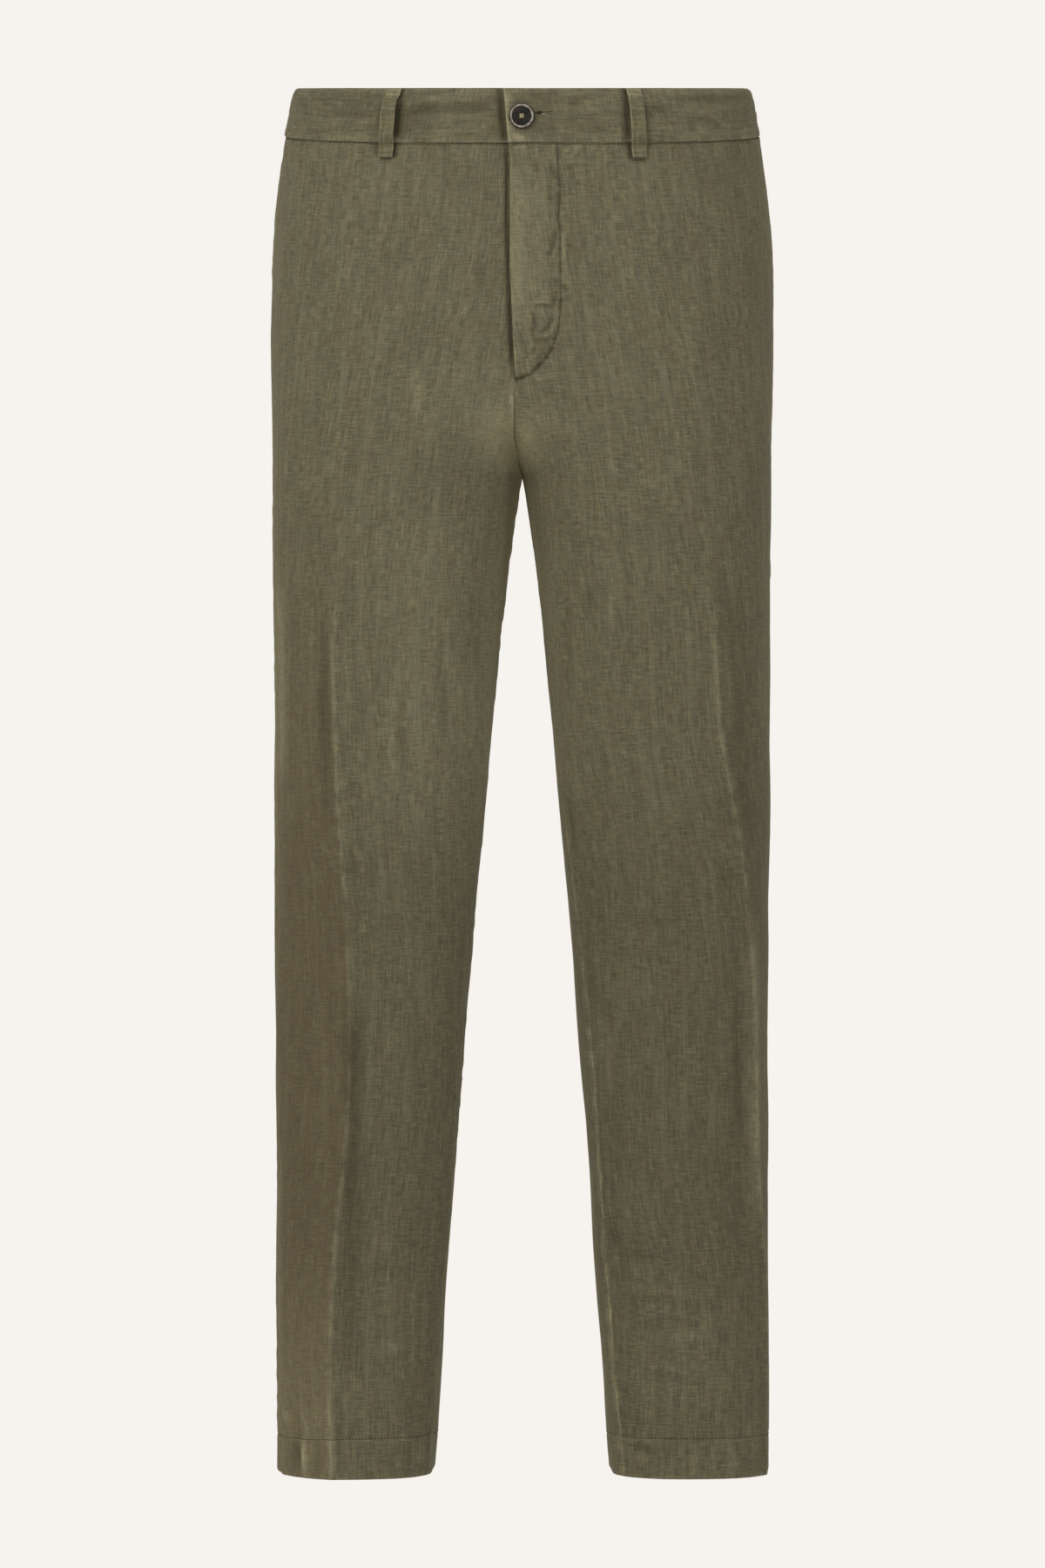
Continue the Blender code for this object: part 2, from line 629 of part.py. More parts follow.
def make_button(material, parent):
    """A turned disc with a raised rim and four holes, its axis along y and its face to the front."""
    shape = bmesh.new()
    verts = [shape.verts.new((radius * MM, -out * MM, 0.0)) for radius, out in BUTTON_PROFILE]
    edges = [shape.edges.new(pair) for pair in zip(verts, verts[1:])]
    bmesh.ops.spin(shape, geom=verts + edges, cent=(0, 0, 0), axis=(0, 1, 0),
                   angle=2 * pi, steps=BUTTON_SEGMENTS)
    bmesh.ops.remove_doubles(shape, verts=shape.verts, dist=1e-6)
    bmesh.ops.recalc_face_normals(shape, faces=shape.faces)
    mesh = bpy.data.meshes.new("waist_button")
    shape.to_mesh(mesh)
    shape.free()
    mesh.shade_smooth()
    mesh.set_sharp_from_angle(angle=SHARP_EDGE)
    button = new_object("waist_button", mesh, material, parent)
    front_y = -section_value("front", BUTTON_LEVEL) - BAND_PROUD - TAB_LIFT - BUTTON_STAND
    z = height_at(BUTTON_LEVEL, front_y)
    button.location = (BUTTON_X, front_y, z)
    for k in range(4):
        dx = BUTTON_HOLE_SPACING / 2 * (1 if k % 2 else -1)
        dz = BUTTON_HOLE_SPACING / 2 * (1 if k // 2 else -1)
        drill = bmesh.new()
        bmesh.ops.create_cone(drill, cap_ends=True, segments=HOLE_SEGMENTS, radius1=BUTTON_HOLE / 2,
                              radius2=BUTTON_HOLE / 2, depth=DRILL_LENGTH)
        drill_mesh = bpy.data.meshes.new(f"button_drill_{k}")
        drill.to_mesh(drill_mesh)
        drill.free()
        cutter = bpy.data.objects.new(f"button_drill_{k}", drill_mesh)
        bpy.context.scene.collection.objects.link(cutter)
        cutter.parent = parent
        cutter.rotation_euler = (pi / 2, 0, 0)
        cutter.location = (BUTTON_X + dx, front_y, z + dz)
        cutter.hide_render = True
        cutter.display_type = 'WIRE'
        cut = button.modifiers.new(f"hole_{k}", 'BOOLEAN')
        cut.operation = 'DIFFERENCE'
        cut.object = cutter
    return button


# ---------------------------------------------------------------- the whole garment

def main():
    for item in list(bpy.data.objects):
        bpy.data.objects.remove(item, do_unlink=True)
    hold = bpy.data.objects.new("waist_hold", None)
    bpy.context.scene.collection.objects.link(hold)

    linen = new_material("linen_olive", (0.118, 0.104, 0.062), 0.9, 0.3)
    linen_band = new_material("linen_olive_band", (0.112, 0.099, 0.060), 0.9, 0.3)
    linen_loop = new_material("linen_olive_loop", (0.122, 0.108, 0.066), 0.9, 0.3)
    horn = new_material("horn_dark", (0.035, 0.031, 0.030), 0.32)

    for side in (-1, 1):
        for face in ("front", "back"):
            make_panel(side, face, linen, hold)
        make_band(side, linen_band, hold)
    for row in BELT_LOOPS:
        make_loop(row, linen_loop, hold)
    make_button(horn, hold)


main()
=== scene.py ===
# %% [markdown]
# # Linen chinos: the looks
#
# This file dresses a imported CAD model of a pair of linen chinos. The model has the true sizes: four
# leg panels, a waistband in two halves, five belt loops and a button. Here each of them gets the
# surface of the real thing: creased linen, pressed seams, rows of stitches and a polished horn button.
#
# The frame is in metres. +Z is up, the front faces -Y, and the wearer's left is +X.

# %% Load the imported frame
import math
import bmesh
import bpy
import numpy as np
from mathutils import Matrix, Vector


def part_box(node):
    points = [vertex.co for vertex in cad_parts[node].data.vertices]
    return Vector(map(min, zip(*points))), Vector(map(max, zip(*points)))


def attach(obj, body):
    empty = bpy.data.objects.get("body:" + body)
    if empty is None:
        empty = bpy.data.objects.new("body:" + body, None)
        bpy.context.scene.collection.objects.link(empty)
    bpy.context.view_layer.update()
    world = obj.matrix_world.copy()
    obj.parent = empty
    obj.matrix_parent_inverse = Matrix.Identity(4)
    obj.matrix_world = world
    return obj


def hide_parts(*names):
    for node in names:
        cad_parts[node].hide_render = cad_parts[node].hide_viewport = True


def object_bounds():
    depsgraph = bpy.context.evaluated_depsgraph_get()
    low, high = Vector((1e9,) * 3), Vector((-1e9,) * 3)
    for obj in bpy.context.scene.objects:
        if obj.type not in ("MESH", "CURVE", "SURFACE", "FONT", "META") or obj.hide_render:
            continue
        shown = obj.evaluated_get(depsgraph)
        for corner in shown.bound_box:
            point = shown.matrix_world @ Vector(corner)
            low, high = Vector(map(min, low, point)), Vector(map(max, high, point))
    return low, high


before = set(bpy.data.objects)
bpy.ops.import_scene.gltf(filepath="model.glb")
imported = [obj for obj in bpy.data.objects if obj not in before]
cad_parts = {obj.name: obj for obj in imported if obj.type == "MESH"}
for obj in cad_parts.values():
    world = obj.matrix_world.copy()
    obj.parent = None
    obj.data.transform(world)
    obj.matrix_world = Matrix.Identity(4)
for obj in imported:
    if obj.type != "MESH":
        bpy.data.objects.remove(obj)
cad_low, cad_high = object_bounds()
MM = 0.001
print("nodes:", ", ".join(sorted(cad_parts)))
print("CAD box in mm:", [round(v / MM, 1) for v in cad_high - cad_low])

# %% [markdown]
# ## Camera, floor and light
#
# The photograph is taken square from the front with a long lens, from well back, so that the legs
# hardly converge. The ground is one even pale tone with no shadow. A floor could be lit until it
# looks like that, but each light that shapes the cloth would then also shade the floor. So the floor
# glows evenly by itself, like a light table, and lights the cloth no more than its surroundings do.

# %% Camera at the photograph's viewing angle
CAMERA_DISTANCE = 4.3
CAMERA_HEIGHT = -0.536  # half way down the garment
FRAME_HEIGHT = 1.208  # what the upright frame takes in at the garment
FRAME_SHIFT = 0.17 * MM  # the garment's middle is this far left of the frame's
SENSOR = 36  # mm, along the frame's long side


def place_in_scene(name, data):
    """Makes an object of this data and puts it in the scene."""
    placed = bpy.data.objects.new(name, data)
    bpy.context.scene.collection.objects.link(placed)
    return placed


camera_data = bpy.data.cameras.new("camera")
camera_data.sensor_width = SENSOR
camera_data.lens = SENSOR * CAMERA_DISTANCE / FRAME_HEIGHT
camera = place_in_scene("camera", camera_data)
camera.location = (FRAME_SHIFT, -CAMERA_DISTANCE, CAMERA_HEIGHT)
camera.rotation_euler = (math.pi / 2, 0, 0)
bpy.context.scene.camera = camera
print("lens:", round(camera_data.lens, 1), "mm")


# %% Colours and nodes: helpers that every material uses
def linear(hex_code):
    """A colour given as sRGB hex, turned to the linear values that Blender works in."""
    values = [int(hex_code[i:i + 2], 16) / 255 for i in (0, 2, 4)]
    return [v / 12.92 if v <= 0.04045 else ((v + 0.055) / 1.055) ** 2.4 for v in values] + [1.0]


def add_node(tree, kind, inputs=None, **settings):
    """Adds a node with its settings. inputs holds a value or another node's output for each socket."""
    made = tree.nodes.new(kind)
    for name, value in settings.items():
        setattr(made, name, value)
    for key, value in (inputs or {}).items():
        if isinstance(value, bpy.types.NodeSocket):
            tree.links.new(value, made.inputs[key])
        else:
            made.inputs[key].default_value = value
    return made


def new_material(name):
    """An empty material and its node tree."""
    material = bpy.data.materials.new(name)
    material.use_nodes = True
    material.node_tree.nodes.clear()
    return material, material.node_tree


# %% Even pale surroundings
PAPER = linear("F6F3EE")
ROOM_LIGHT = 0.38  # the surroundings light the cloth with this share of what they show

world = bpy.data.worlds.new("pale_room")
world.use_nodes = True
world.node_tree.nodes.clear()
camera_sees = add_node(world.node_tree, "ShaderNodeLightPath").outputs["Is Camera Ray"]
strength = add_node(world.node_tree, "ShaderNodeMapRange", {
    "Value": camera_sees, "To Min": ROOM_LIGHT, "To Max": 1.0})
room = add_node(world.node_tree, "ShaderNodeBackground", {
    "Color": PAPER, "Strength": strength.outputs[0]})
add_node(world.node_tree, "ShaderNodeOutputWorld", {"Surface": room.outputs[0]})
bpy.context.scene.world = world
bpy.context.scene.view_settings.view_transform = 'Standard'

# %% Floor
FLOOR_DROP = 25 * MM  # the garment is held at its waist, with its hems just clear of the floor
FLOOR_RADIUS = 40


def mesh_from(name, shape):
    """Turns an edited shape into a mesh."""
    mesh = bpy.data.meshes.new(name)
    shape.to_mesh(mesh)
    shape.free()
    return mesh


floor_shape = bmesh.new()
bmesh.ops.create_circle(floor_shape, cap_ends=True, segments=96, radius=FLOOR_RADIUS)
floor = place_in_scene("floor", mesh_from("floor", floor_shape))
floor.location.z = cad_low.z - FLOOR_DROP
floor.visible_diffuse = False
floor.visible_glossy = False

paper, tree = new_material("pale_paper_evenly_lit")
glow = add_node(tree, "ShaderNodeEmission", {"Color": PAPER, "Strength": 1.0})
add_node(tree, "ShaderNodeOutputMaterial", {"Surface": glow.outputs[0]})
floor.data.materials.append(paper)

# %% Soft boxes
# name, where it stands, what it points at, width and height in metres, power in watts, colour
SOFT_BOXES = [
    ("front_soft_box", (-1.0, -2.1, 0.75), (-0.05, 0.0, -0.25), (1.0, 1.0), 20, "FFFDFA"),
    ("left_soft_box", (-2.4, -1.6, 0.1), (0.0, 0.0, -0.4), (0.8, 1.8), 20, "FFFCF7"),
    ("right_soft_box", (2.2, -1.6, 0.2), (0.0, 0.0, -0.3), (0.8, 1.6), 16, "FDFDFC"),
    ("fill_soft_box", (0.5, -2.4, -0.35), (0.0, 0.0, -0.4), (0.9, 0.9), 7, "FDFDFC"),
]
for name, place, target, size, power, colour in SOFT_BOXES:
    light_data = bpy.data.lights.new(name, 'AREA')
    light_data.shape = 'RECTANGLE'
    light_data.size, light_data.size_y = size
    light_data.energy = power
    light_data.color = linear(colour)[:3]
    soft_box = place_in_scene(name, light_data)
    soft_box.location = place
    soft_box.rotation_euler = (Vector(target) - Vector(place)).to_track_quat('-Z', 'Y').to_euler()
print("lights:", len(SOFT_BOXES))

# %% [markdown]
# ## The form that the cloth follows
#
# A real pair of trousers gets its form from its cut and from the body in it. The CAD model states that
# form as level sections: each leg is a ring of four quarter superellipses, and above the crotch the
# two rings run together and are cut off at the centre seam. A fine cloth surface could be subdivided
# from the CAD faces, but their facets would show. Working the same sections out again, at many more
# levels, gives a smooth surface that lies on the CAD form everywhere.

# %% Sizes of the form, as in the CAD model
WAIST_TO_HEM = 1.065
WAIST_TO_CROTCH = 0.300
CLOTH_WALL = 0.9 * MM
HEM_WALL = 2.4 * MM
HEM_HEIGHT = 30 * MM
HEM_TOP = WAIST_TO_HEM - HEM_HEIGHT
SEAM_GAP = 0.1 * MM
BAND_WALL = 2.4 * MM
BAND_PROUD = 0.8 * MM
BAND_HEIGHT_SIDE = 36.5 * MM
BAND_HEIGHT_GAIN = 4.5 * MM
WAIST_DEPTH_HALF = 101 * MM
WAIST_TILT = 0.1247  # the waist rises towards the back
TILT_EASES = 0.060
TILT_ENDS = 0.230
BAND_EASE_ENDS = 0.200
TAB_END_TOP = -14.2 * MM
TAB_END_BOTTOM = -10.6 * MM
UNDER_END = 14.0 * MM
TAB_LIFT = 2.8 * MM  # the tab stands off the end that runs under it
TAB_LIFT_FROM = 30 * MM
TAB_LIFT_FULL = 16 * MM
FLY_LIFT = 2.6 * MM  # the left front stands off the right one along the fly
FLY_LIFT_RAMP = 9 * MM
FLY_FADE_TOP = 0.229
FLY_FADE_BOTTOM = 0.241
FLY_UNDERLAP = 4.0 * MM
UNDERLAP_NARROWS = 0.180
UNDERLAP_ENDS = 0.205
CROTCH_DEPTH = -12 * MM
CROTCH_FLARE = 0.20  # how fast the legs' inner lines cross above the crotch
FRONT_JOIN = 16 * MM
BACK_JOIN = 21 * MM
NORMAL_STEP = 0.5 * MM  # between the two levels that a surface normal is worked out from
SECTION_SQUARENESS = 2.30  # 2 is an ellipse
CREASE_HALF_WIDTH = 42 * MM  # the broad ridge of the pressed crease
CREASE_POWER = 1.7
ARC_POINTS = 121

# %% Tables of the form, in millimetres
SECTION_COLUMNS = ("level", "outer", "front", "back", "middle")
SECTIONS = [
    (0, 175.8, 101.0, 101.0, 40),
    (40, 182.5, 103.5, 107.0, 48),
    (100, 189.8, 109.0, 121.0, 62),
    (160, 192.6, 112.0, 130.0, 74),
    (220, 192.8, 112.0, 131.0, 83),
    (260, 192.2, 110.0, 127.0, 88),
    (300, 191.7, 107.0, 118.0, 92),
    (340, 191.6, 103.0, 108.0, 96),
    (400, 191.3, 95.0, 95.0, 100),
    (470, 190.9, 85.0, 82.0, 104),
    (550, 190.6, 75.0, 70.0, 108),
    (620, 190.2, 68.0, 63.5, 111),
    (700, 189.8, 63.0, 60.0, 115),
    (800, 189.6, 60.0, 59.0, 119),
    (900, 188.9, 58.0, 59.0, 122),
    (1000, 188.9, 56.5, 58.5, 126),
    (1065, 188.7, 56.0, 58.0, 128),
]

# Half of the gap between the legs.
LEG_GAP_COLUMNS = ("level", "inner")
LEG_GAP = [
    (300, 0.0),
    (308, 1.7),
    (328, 4.7),
    (380, 11.4),
    (469, 20.8),
    (600, 33.0),
    (700, 41.1),
    (800, 48.7),
    (900, 56.1),
    (1000, 63.0),
    (1065, 67.0),
]

# The fly's edge with the centre seam below it, and the fly's outer stitching.
FLY_COLUMNS = ("level", "edge", "stitch")
FLY = [
    (36, -10.6, 27.0),
    (50, -9.3, 27.0),
    (140, -9.4, 27.0),
    (200, -7.0, 26.5),
    (224, -5.9, 14.5),
    (235, -5.4, -5.0),
    (243, -7.0, -7.0),
    (275, -6.0, -6.0),
    (290, -2.8, -2.8),
    (300, 0.0, 0.0),
]

# The pressed creases, and how far each seam has turned to the front.
LEG_COLUMNS = ("level", "front", "back", "height", "inseam", "outseam")
RIGHT_LEG = [
    (0, 92, 70, 0.0, 0, 0),
    (160, 110, 92, 0.0, 0, 0),
    (300, 131, 112, 0.0, 0, 4),
    (405, 141, 121, 2.5, 2, 13),
    (543, 139, 122, 4.0, 4, 14),
    (651, 132, 124, 4.5, 7, 14),
    (806, 133, 125, 4.5, 12, 14),
    (885, 141, 124, 4.5, 16, 12),
    (971, 145, 126, 4.0, 20, 8),
    (1065, 144, 130, 3.5, 25, 6),
]
LEFT_LEG = [
    (0, 86, 70, 0.0, 0, 0),
    (160, 108, 92, 0.0, 0, 0),
    (300, 132, 110, 0.0, 0, -4),
    (405, 143, 116, 2.0, 10, -8),
    (500, 149, 114, 3.5, 18, -10),
    (576, 162, 112, 4.5, 24, -12),
    (675, 172, 111, 4.5, 30, -14),
    (830, 177, 112, 4.0, 31, -14),
    (900, 183, 115, 3.0, 30, -12),
    (1065, 184, 120, 2.0, 36, -10),
]


# %% Soft steps, and a curve through given values
def smoothstep(low, high, value):
    """0 below low, 1 above high, with level ends."""
    t = np.clip((value - low) / (high - low), 0.0, 1.0)
    return t * t * (3 - 2 * t)


def between(value, start, full, easing, end):
    """0 outside a stretch and 1 well inside it, with soft ends."""
    return smoothstep(start, full, value) * (1 - smoothstep(easing, end, value))


def curve_through(knots, values, at):
    """A smooth curve through the values (or the rows of values) at the knots, read at other places."""
    slopes = np.gradient(values, knots, axis=0)
    at = np.clip(at, knots[0], knots[-1])
    i = np.clip(np.searchsorted(knots, at) - 1, 0, len(knots) - 2)
    span = knots[i + 1] - knots[i]
    t = (at - knots[i]) / span
    if values.ndim > 1:
        span = span[:, None]
        t = t[:, None]
    start = values[i] * (1 + 2 * t) * (1 - t) ** 2 + slopes[i] * span * t * (1 - t) ** 2
    end = values[i + 1] * t * t * (3 - 2 * t) + slopes[i + 1] * span * t * t * (t - 1)
    return start + end


# %% Reading the tables
def read_table(rows, names, column, level):
    """A column of a table at any level, in metres."""
    levels = np.array([row[0] for row in rows]) * MM
    values = np.array([row[names.index(column)] for row in rows]) * MM
    return curve_through(levels, values, level)


def section_value(column, level):
    """A measure of the body's or a leg's section at any level."""
    return read_table(SECTIONS, SECTION_COLUMNS, column, level)


def fly_value(column, level):
    """The fly's seams have corners, so its table is read with straight runs."""
    levels = [row[0] * MM for row in FLY]
    values = [row[FLY_COLUMNS.index(column)] * MM for row in FLY]
    return np.interp(level, levels, values)


def leg_value(side, column, level):
    """A measure of one leg's pressed creases and seams at any level."""
    rows = RIGHT_LEG if side < 0 else LEFT_LEG
    return read_table(rows, LEG_COLUMNS, column, level)


def height_at(level, depth):
    """The z of a point whose section is this far down the side seam, at this depth (y)."""
    tilt = WAIST_TILT * (1 - smoothstep(TILT_EASES, TILT_ENDS, level))
    growth = np.clip(level / BAND_HEIGHT_SIDE, 0, 1)
    growth = growth * (1 - smoothstep(BAND_HEIGHT_SIDE, BAND_EASE_ENDS, level))
    return -level - BAND_HEIGHT_GAIN * np.abs(depth) / WAIST_DEPTH_HALF * growth + tilt * depth


print("hip section in mm:", [round(float(section_value(c, 0.22)) / MM, 1) for c in SECTION_COLUMNS[1:]])


# %% One level section
def quarter(start, end, from_x=None):
    """A quarter superellipse that leaves start along y and reaches end along x, cut off at from_x."""
    power = 2 / SECTION_SQUARENESS
    first = 0.0
    if from_x is not None:
        first = np.arccos(((end[0] - from_x) / (end[0] - start[0])) ** (1 / power))
    angle = np.linspace(first, math.pi / 2, ARC_POINTS)
    x = end[0] - (end[0] - start[0]) * np.cos(angle) ** power
    y = start[1] + (end[1] - start[1]) * np.sin(angle) ** power
    return np.column_stack((x, y))


def past_centre(level, join):
    """How far a leg's inner line would run past the centre seam above the crotch."""
    return CROTCH_FLARE * join * (np.exp((WAIST_TO_CROTCH - level) / join) - 1)


def half_section(level, front_start, back_start):
    """One half of the body or one leg at a level: a run to the side line, and one on from there."""
    outer = section_value("outer", level)
    middle = section_value("middle", level)
    front = -section_value("front", level)
    back = section_value("back", level)
    depth = CROTCH_DEPTH * (1 - smoothstep(WAIST_TO_CROTCH, WAIST_TO_HEM, level))
    if level < WAIST_TO_CROTCH:
        front_inner = (front_start - past_centre(level, FRONT_JOIN), depth)
        back_inner = (back_start - past_centre(level, BACK_JOIN), depth)
        inner_front = quarter(front_inner, (middle, front), front_start)
        inner_back = quarter(back_inner, (middle, back), back_start)
    else:
        inner = read_table(LEG_GAP, LEG_GAP_COLUMNS, "inner", level) + SEAM_GAP / 2
        inner_front = quarter((inner, depth), (middle, front))
        inner_back = quarter((inner, depth), (middle, back))
    outer_front = quarter((outer, 0.0), (middle, front))[::-1]
    outer_back = quarter((outer, 0.0), (middle, back))
    front_run = np.vstack((inner_front, outer_front[1:]))
    back_run = np.vstack((outer_back, inner_back[::-1][1:]))
    return front_run, back_run


# %% Measures along a run of points
def travel(points):
    """Distance along a run of points."""
    steps = np.hypot(*np.diff(points, axis=0).T)
    return np.concatenate(([0.0], np.cumsum(steps)))


def resample(at, distance, values):
    """Rows of values that lie along a run, read at other distances along it."""
    return np.column_stack([np.interp(at, distance, column) for column in values.T])


def outward(points):
    """Unit normals of a run that goes round the section, pointing out of it."""
    along = np.gradient(points, axis=0)
    along = along / np.maximum(np.hypot(along[:, 0], along[:, 1]), 1e-12)[:, None]
    return np.column_stack((along[:, 1], -along[:, 0]))


# %% [markdown]
# ## A panel as a grid in cloth coordinates
#
# A tailor thinks of a panel by its seams and its pressed crease. So each point of the fine grid keeps
# four measures along the cloth: its level, and its distance from the inner seam, from the side seam
# and from the crease. Folds, stitches and worn edges are then placed by the same measures as on the
# real garment. The columns crowd together where the cloth turns sharply: at the seams and the crease.

# %% Columns and rows of the fine grid
NEAR_EDGE = np.array((0.0, 0.3, 0.7, 1.2, 1.9, 2.8, 4.0)) * MM
NEAR_CREASE = np.array((-4.0, -2.2, -1.0, 0.0, 1.0, 2.2, 4.0)) * MM
FLY_WIDTH = 46 * MM
FLY_COLUMNS_FINE = 40  # between the fly's edge and just past its stitching
FLY_REST_COLUMNS = 30  # from there to the crease
INNER_COLUMNS = 56
OUTER_COLUMNS = 40
OUTER_COLUMNS_FLY = 30  # fewer on the panel that carries the fly
TORSO_STEP = 2.1 * MM
FLY_STEP = 1.5 * MM  # rows are closer on the panel that carries the fly
LEG_STEP = 3.4 * MM
HEM_STEP = 2.2 * MM
TUCK = 5 * MM  # the panels run up behind the waistband by this much


def column_places(start, crease, end, toward, fly):
    """Distances round the section where a panel's columns lie, from its inner seam to its side seam."""
    first = start + toward * NEAR_EDGE
    last = end - toward * NEAR_EDGE[::-1]
    folded = crease + toward * NEAR_CREASE
    if fly:
        fly_end = start + toward * FLY_WIDTH
        inner = np.concatenate((
            np.linspace(first[-1], fly_end, FLY_COLUMNS_FINE + 1)[1:],
            np.linspace(fly_end, folded[0], FLY_REST_COLUMNS + 1)[1:-1]))
    else:
        inner = np.linspace(first[-1], folded[0], INNER_COLUMNS + 1)[1:-1]
    outer_columns = OUTER_COLUMNS_FLY if fly else OUTER_COLUMNS
    outer = np.linspace(folded[-1], last[0], outer_columns + 1)[1:-1]
    return np.concatenate((first, inner, folded, outer, last))


def panel_levels(fly):
    """Levels of a panel's rows, from behind the waistband down to the folded hem."""
    top = BAND_HEIGHT_SIDE - TUCK
    torso = np.arange(top, WAIST_TO_CROTCH - 0.3 * MM, TORSO_STEP)
    if fly:
        beside_fly = np.arange(top, FLY_FADE_BOTTOM, FLY_STEP)
        torso = np.concatenate((beside_fly, torso[torso > FLY_FADE_BOTTOM]))
    under_seam = BAND_HEIGHT_SIDE + np.array((0.3, 0.8, 1.5, 2.6)) * MM
    near_crotch = WAIST_TO_CROTCH + np.array((-1.2, -0.6, -0.25, 0.25, 0.6, 1.2, 2.2)) * MM
    leg = np.arange(WAIST_TO_CROTCH + LEG_STEP, HEM_TOP - 2 * MM, LEG_STEP)
    hem_top = HEM_TOP + np.array((-1.5, -0.5, 0.5, 1.5)) * MM
    hem = np.arange(HEM_TOP + 4 * MM, WAIST_TO_HEM - 4.1 * MM, HEM_STEP)
    edge = WAIST_TO_HEM - NEAR_EDGE[::-1]
    levels = np.concatenate((torso, under_seam, near_crotch, leg, hem_top, hem, edge))
    return np.unique(np.round(levels, 6))


# %% A row of a panel
def panel_row(side, face, level):
    """Everything about one level of a panel: places, normals in plan, and measures along the cloth."""
    front_start = side * fly_value("edge", level) + SEAM_GAP / 2
    if side < 0:
        lap = smoothstep(UNDERLAP_NARROWS, UNDERLAP_ENDS, level)
        front_start = -FLY_UNDERLAP * (1 - lap) + front_start * lap
    front_run, back_run = half_section(level, front_start, SEAM_GAP / 2)
    loop = np.vstack((front_run, back_run[1:]))
    in_leg = level > WAIST_TO_CROTCH
    if in_leg:
        loop = np.vstack((loop, front_run[1:ARC_POINTS]))
    distance = travel(loop)
    side_at = distance[len(front_run) - 1] - leg_value(side, "outseam", level)
    inseam = max(leg_value(side, "inseam", level), 0.0) if in_leg else 0.0
    inner_gap = SEAM_GAP / 2 if in_leg else 0.0
    if face == "front":
        start = inseam + inner_gap
        end = side_at - SEAM_GAP / 2
        crease = np.interp(leg_value(side, "front", level), front_run[:, 0], distance[:len(front_run)])
    else:
        start = distance[len(front_run) + len(back_run) - 2] + inseam - inner_gap
        end = side_at + SEAM_GAP / 2
        back_distance = distance[len(front_run) - 1:len(front_run) + len(back_run) - 1]
        crease = np.interp(-leg_value(side, "back", level), -back_run[:, 0], back_distance)
    toward = 1 if face == "front" else -1
    along = column_places(start, crease, end, toward, face == "front" and side > 0)
    x, y = resample(along, distance, loop).T
    nx, ny = resample(along, distance, outward(loop)).T
    return {
        "x": x,
        "y": y,
        "z": height_at(level, y),
        "nx": nx,
        "ny": ny,
        "from_crease": (along - crease) * toward,
        "from_inner": np.abs(along - start),
        "from_outer": np.abs(along - end),
    }


# %% The raised crease, the fly's lap and the normals
def on_fly(level):
    """1 at the levels of the fly and 0 below it."""
    return 1 - smoothstep(FLY_FADE_TOP, FLY_FADE_BOTTOM, level)


def lifted(side, face, level):
    """A row with the pressed crease raised, and its points and plan normals as arrays."""
    row = panel_row(side, face, level)
    ridge = np.clip(1 - np.abs(row["from_crease"]) / CREASE_HALF_WIDTH, 0, 1) ** CREASE_POWER
    lift = leg_value(side, "height", level) * ridge
    if side > 0 and face == "front":
        stitch = fly_value("stitch", level)
        over = 1 - smoothstep(stitch - FLY_LIFT_RAMP, stitch, row["x"])
        lift = lift + FLY_LIFT * over * on_fly(level)
    x = side * (row["x"] + row["nx"] * lift)
    points = np.column_stack((x, row["y"] + row["ny"] * lift, row["z"]))
    return row, points, np.column_stack((side * row["nx"], row["ny"]))


def slope_normals(points, flat_normals, upper, lower):
    """Unit normals of a row, from its normals in plan and the rows just above and below it."""
    across = np.column_stack((-flat_normals[:, 1], flat_normals[:, 0], np.zeros(len(points))))
    tilt = (height_at(0.0, points[:, 1] + MM) - height_at(0.0, points[:, 1])) / MM
    across[:, 2] = across[:, 1] * tilt * (points[:, 2] > -TILT_ENDS)
    across /= np.linalg.norm(across, axis=1, keepdims=True)
    rise = upper - lower
    rise -= across * np.sum(rise * across, axis=1, keepdims=True)
    normals = np.cross(across, rise)
    facing = np.sign(np.sum(normals[:, :2] * flat_normals, axis=1, keepdims=True))
    return normals * facing / np.linalg.norm(normals, axis=1, keepdims=True)


# %% Panels as grids
def as_grid(rows, name, side):
    """Rows, which are dictionaries of arrays, joined in one such dictionary for a whole piece."""
    joined = {key: np.array([row[key] for row in rows]) for key in rows[0]}
    return {**joined, "name": name, "side": side}


def panel_grid(side, face):
    """A whole panel: a dictionary of arrays with a row for each level."""
    rows = []
    for level in panel_levels(side > 0 and face == "front"):
        away = -NORMAL_STEP if level < WAIST_TO_CROTCH else NORMAL_STEP
        row, points, flat = lifted(side, face, level)
        near = lifted(side, face, level + away)[1]
        upper, lower = (near, points) if away < 0 else (points, near)
        row["point"] = points
        row["normal"] = slope_normals(points, flat, upper, lower)
        row["level"] = np.full(len(points), level)
        row["x"] = row["x"] * side
        rows.append(row)
    return as_grid(rows, face + ("_left" if side > 0 else "_right"), side)


panels = {}
for side in (-1, 1):
    for face in ("front", "back"):
        grid = panel_grid(side, face)
        panels[grid["name"]] = grid
        print(grid["name"], "grid:", grid["x"].shape)

# %% [markdown]
# ## Rumples, creases and puckers
#
# Linen barely stretches, so it wrinkles wherever it is bent or sewn. There are three kinds here. The
# whole cloth is faintly uneven, which seeded noise gives. Creases run where the cloth was pressed,
# folded or sat in: these are listed one stroke each, as soft ridges and troughs. And along
# each seam the stitches gather the cloth into small puckers square to the seam. A cloth simulation
# would give folds too, but not the ones of this garment.


# %% Seeded noise in cloth coordinates
NOISE_CELLS = 97  # the noise repeats after this many blobs
NOISE_START = (41.3, 17.7)  # so that no piece starts on the corner of a blob


def ease(t):
    """0 to 1 with level and evenly curved ends, so that blobs join without a crease."""
    return t * t * t * (t * (t * 6 - 15) + 10)


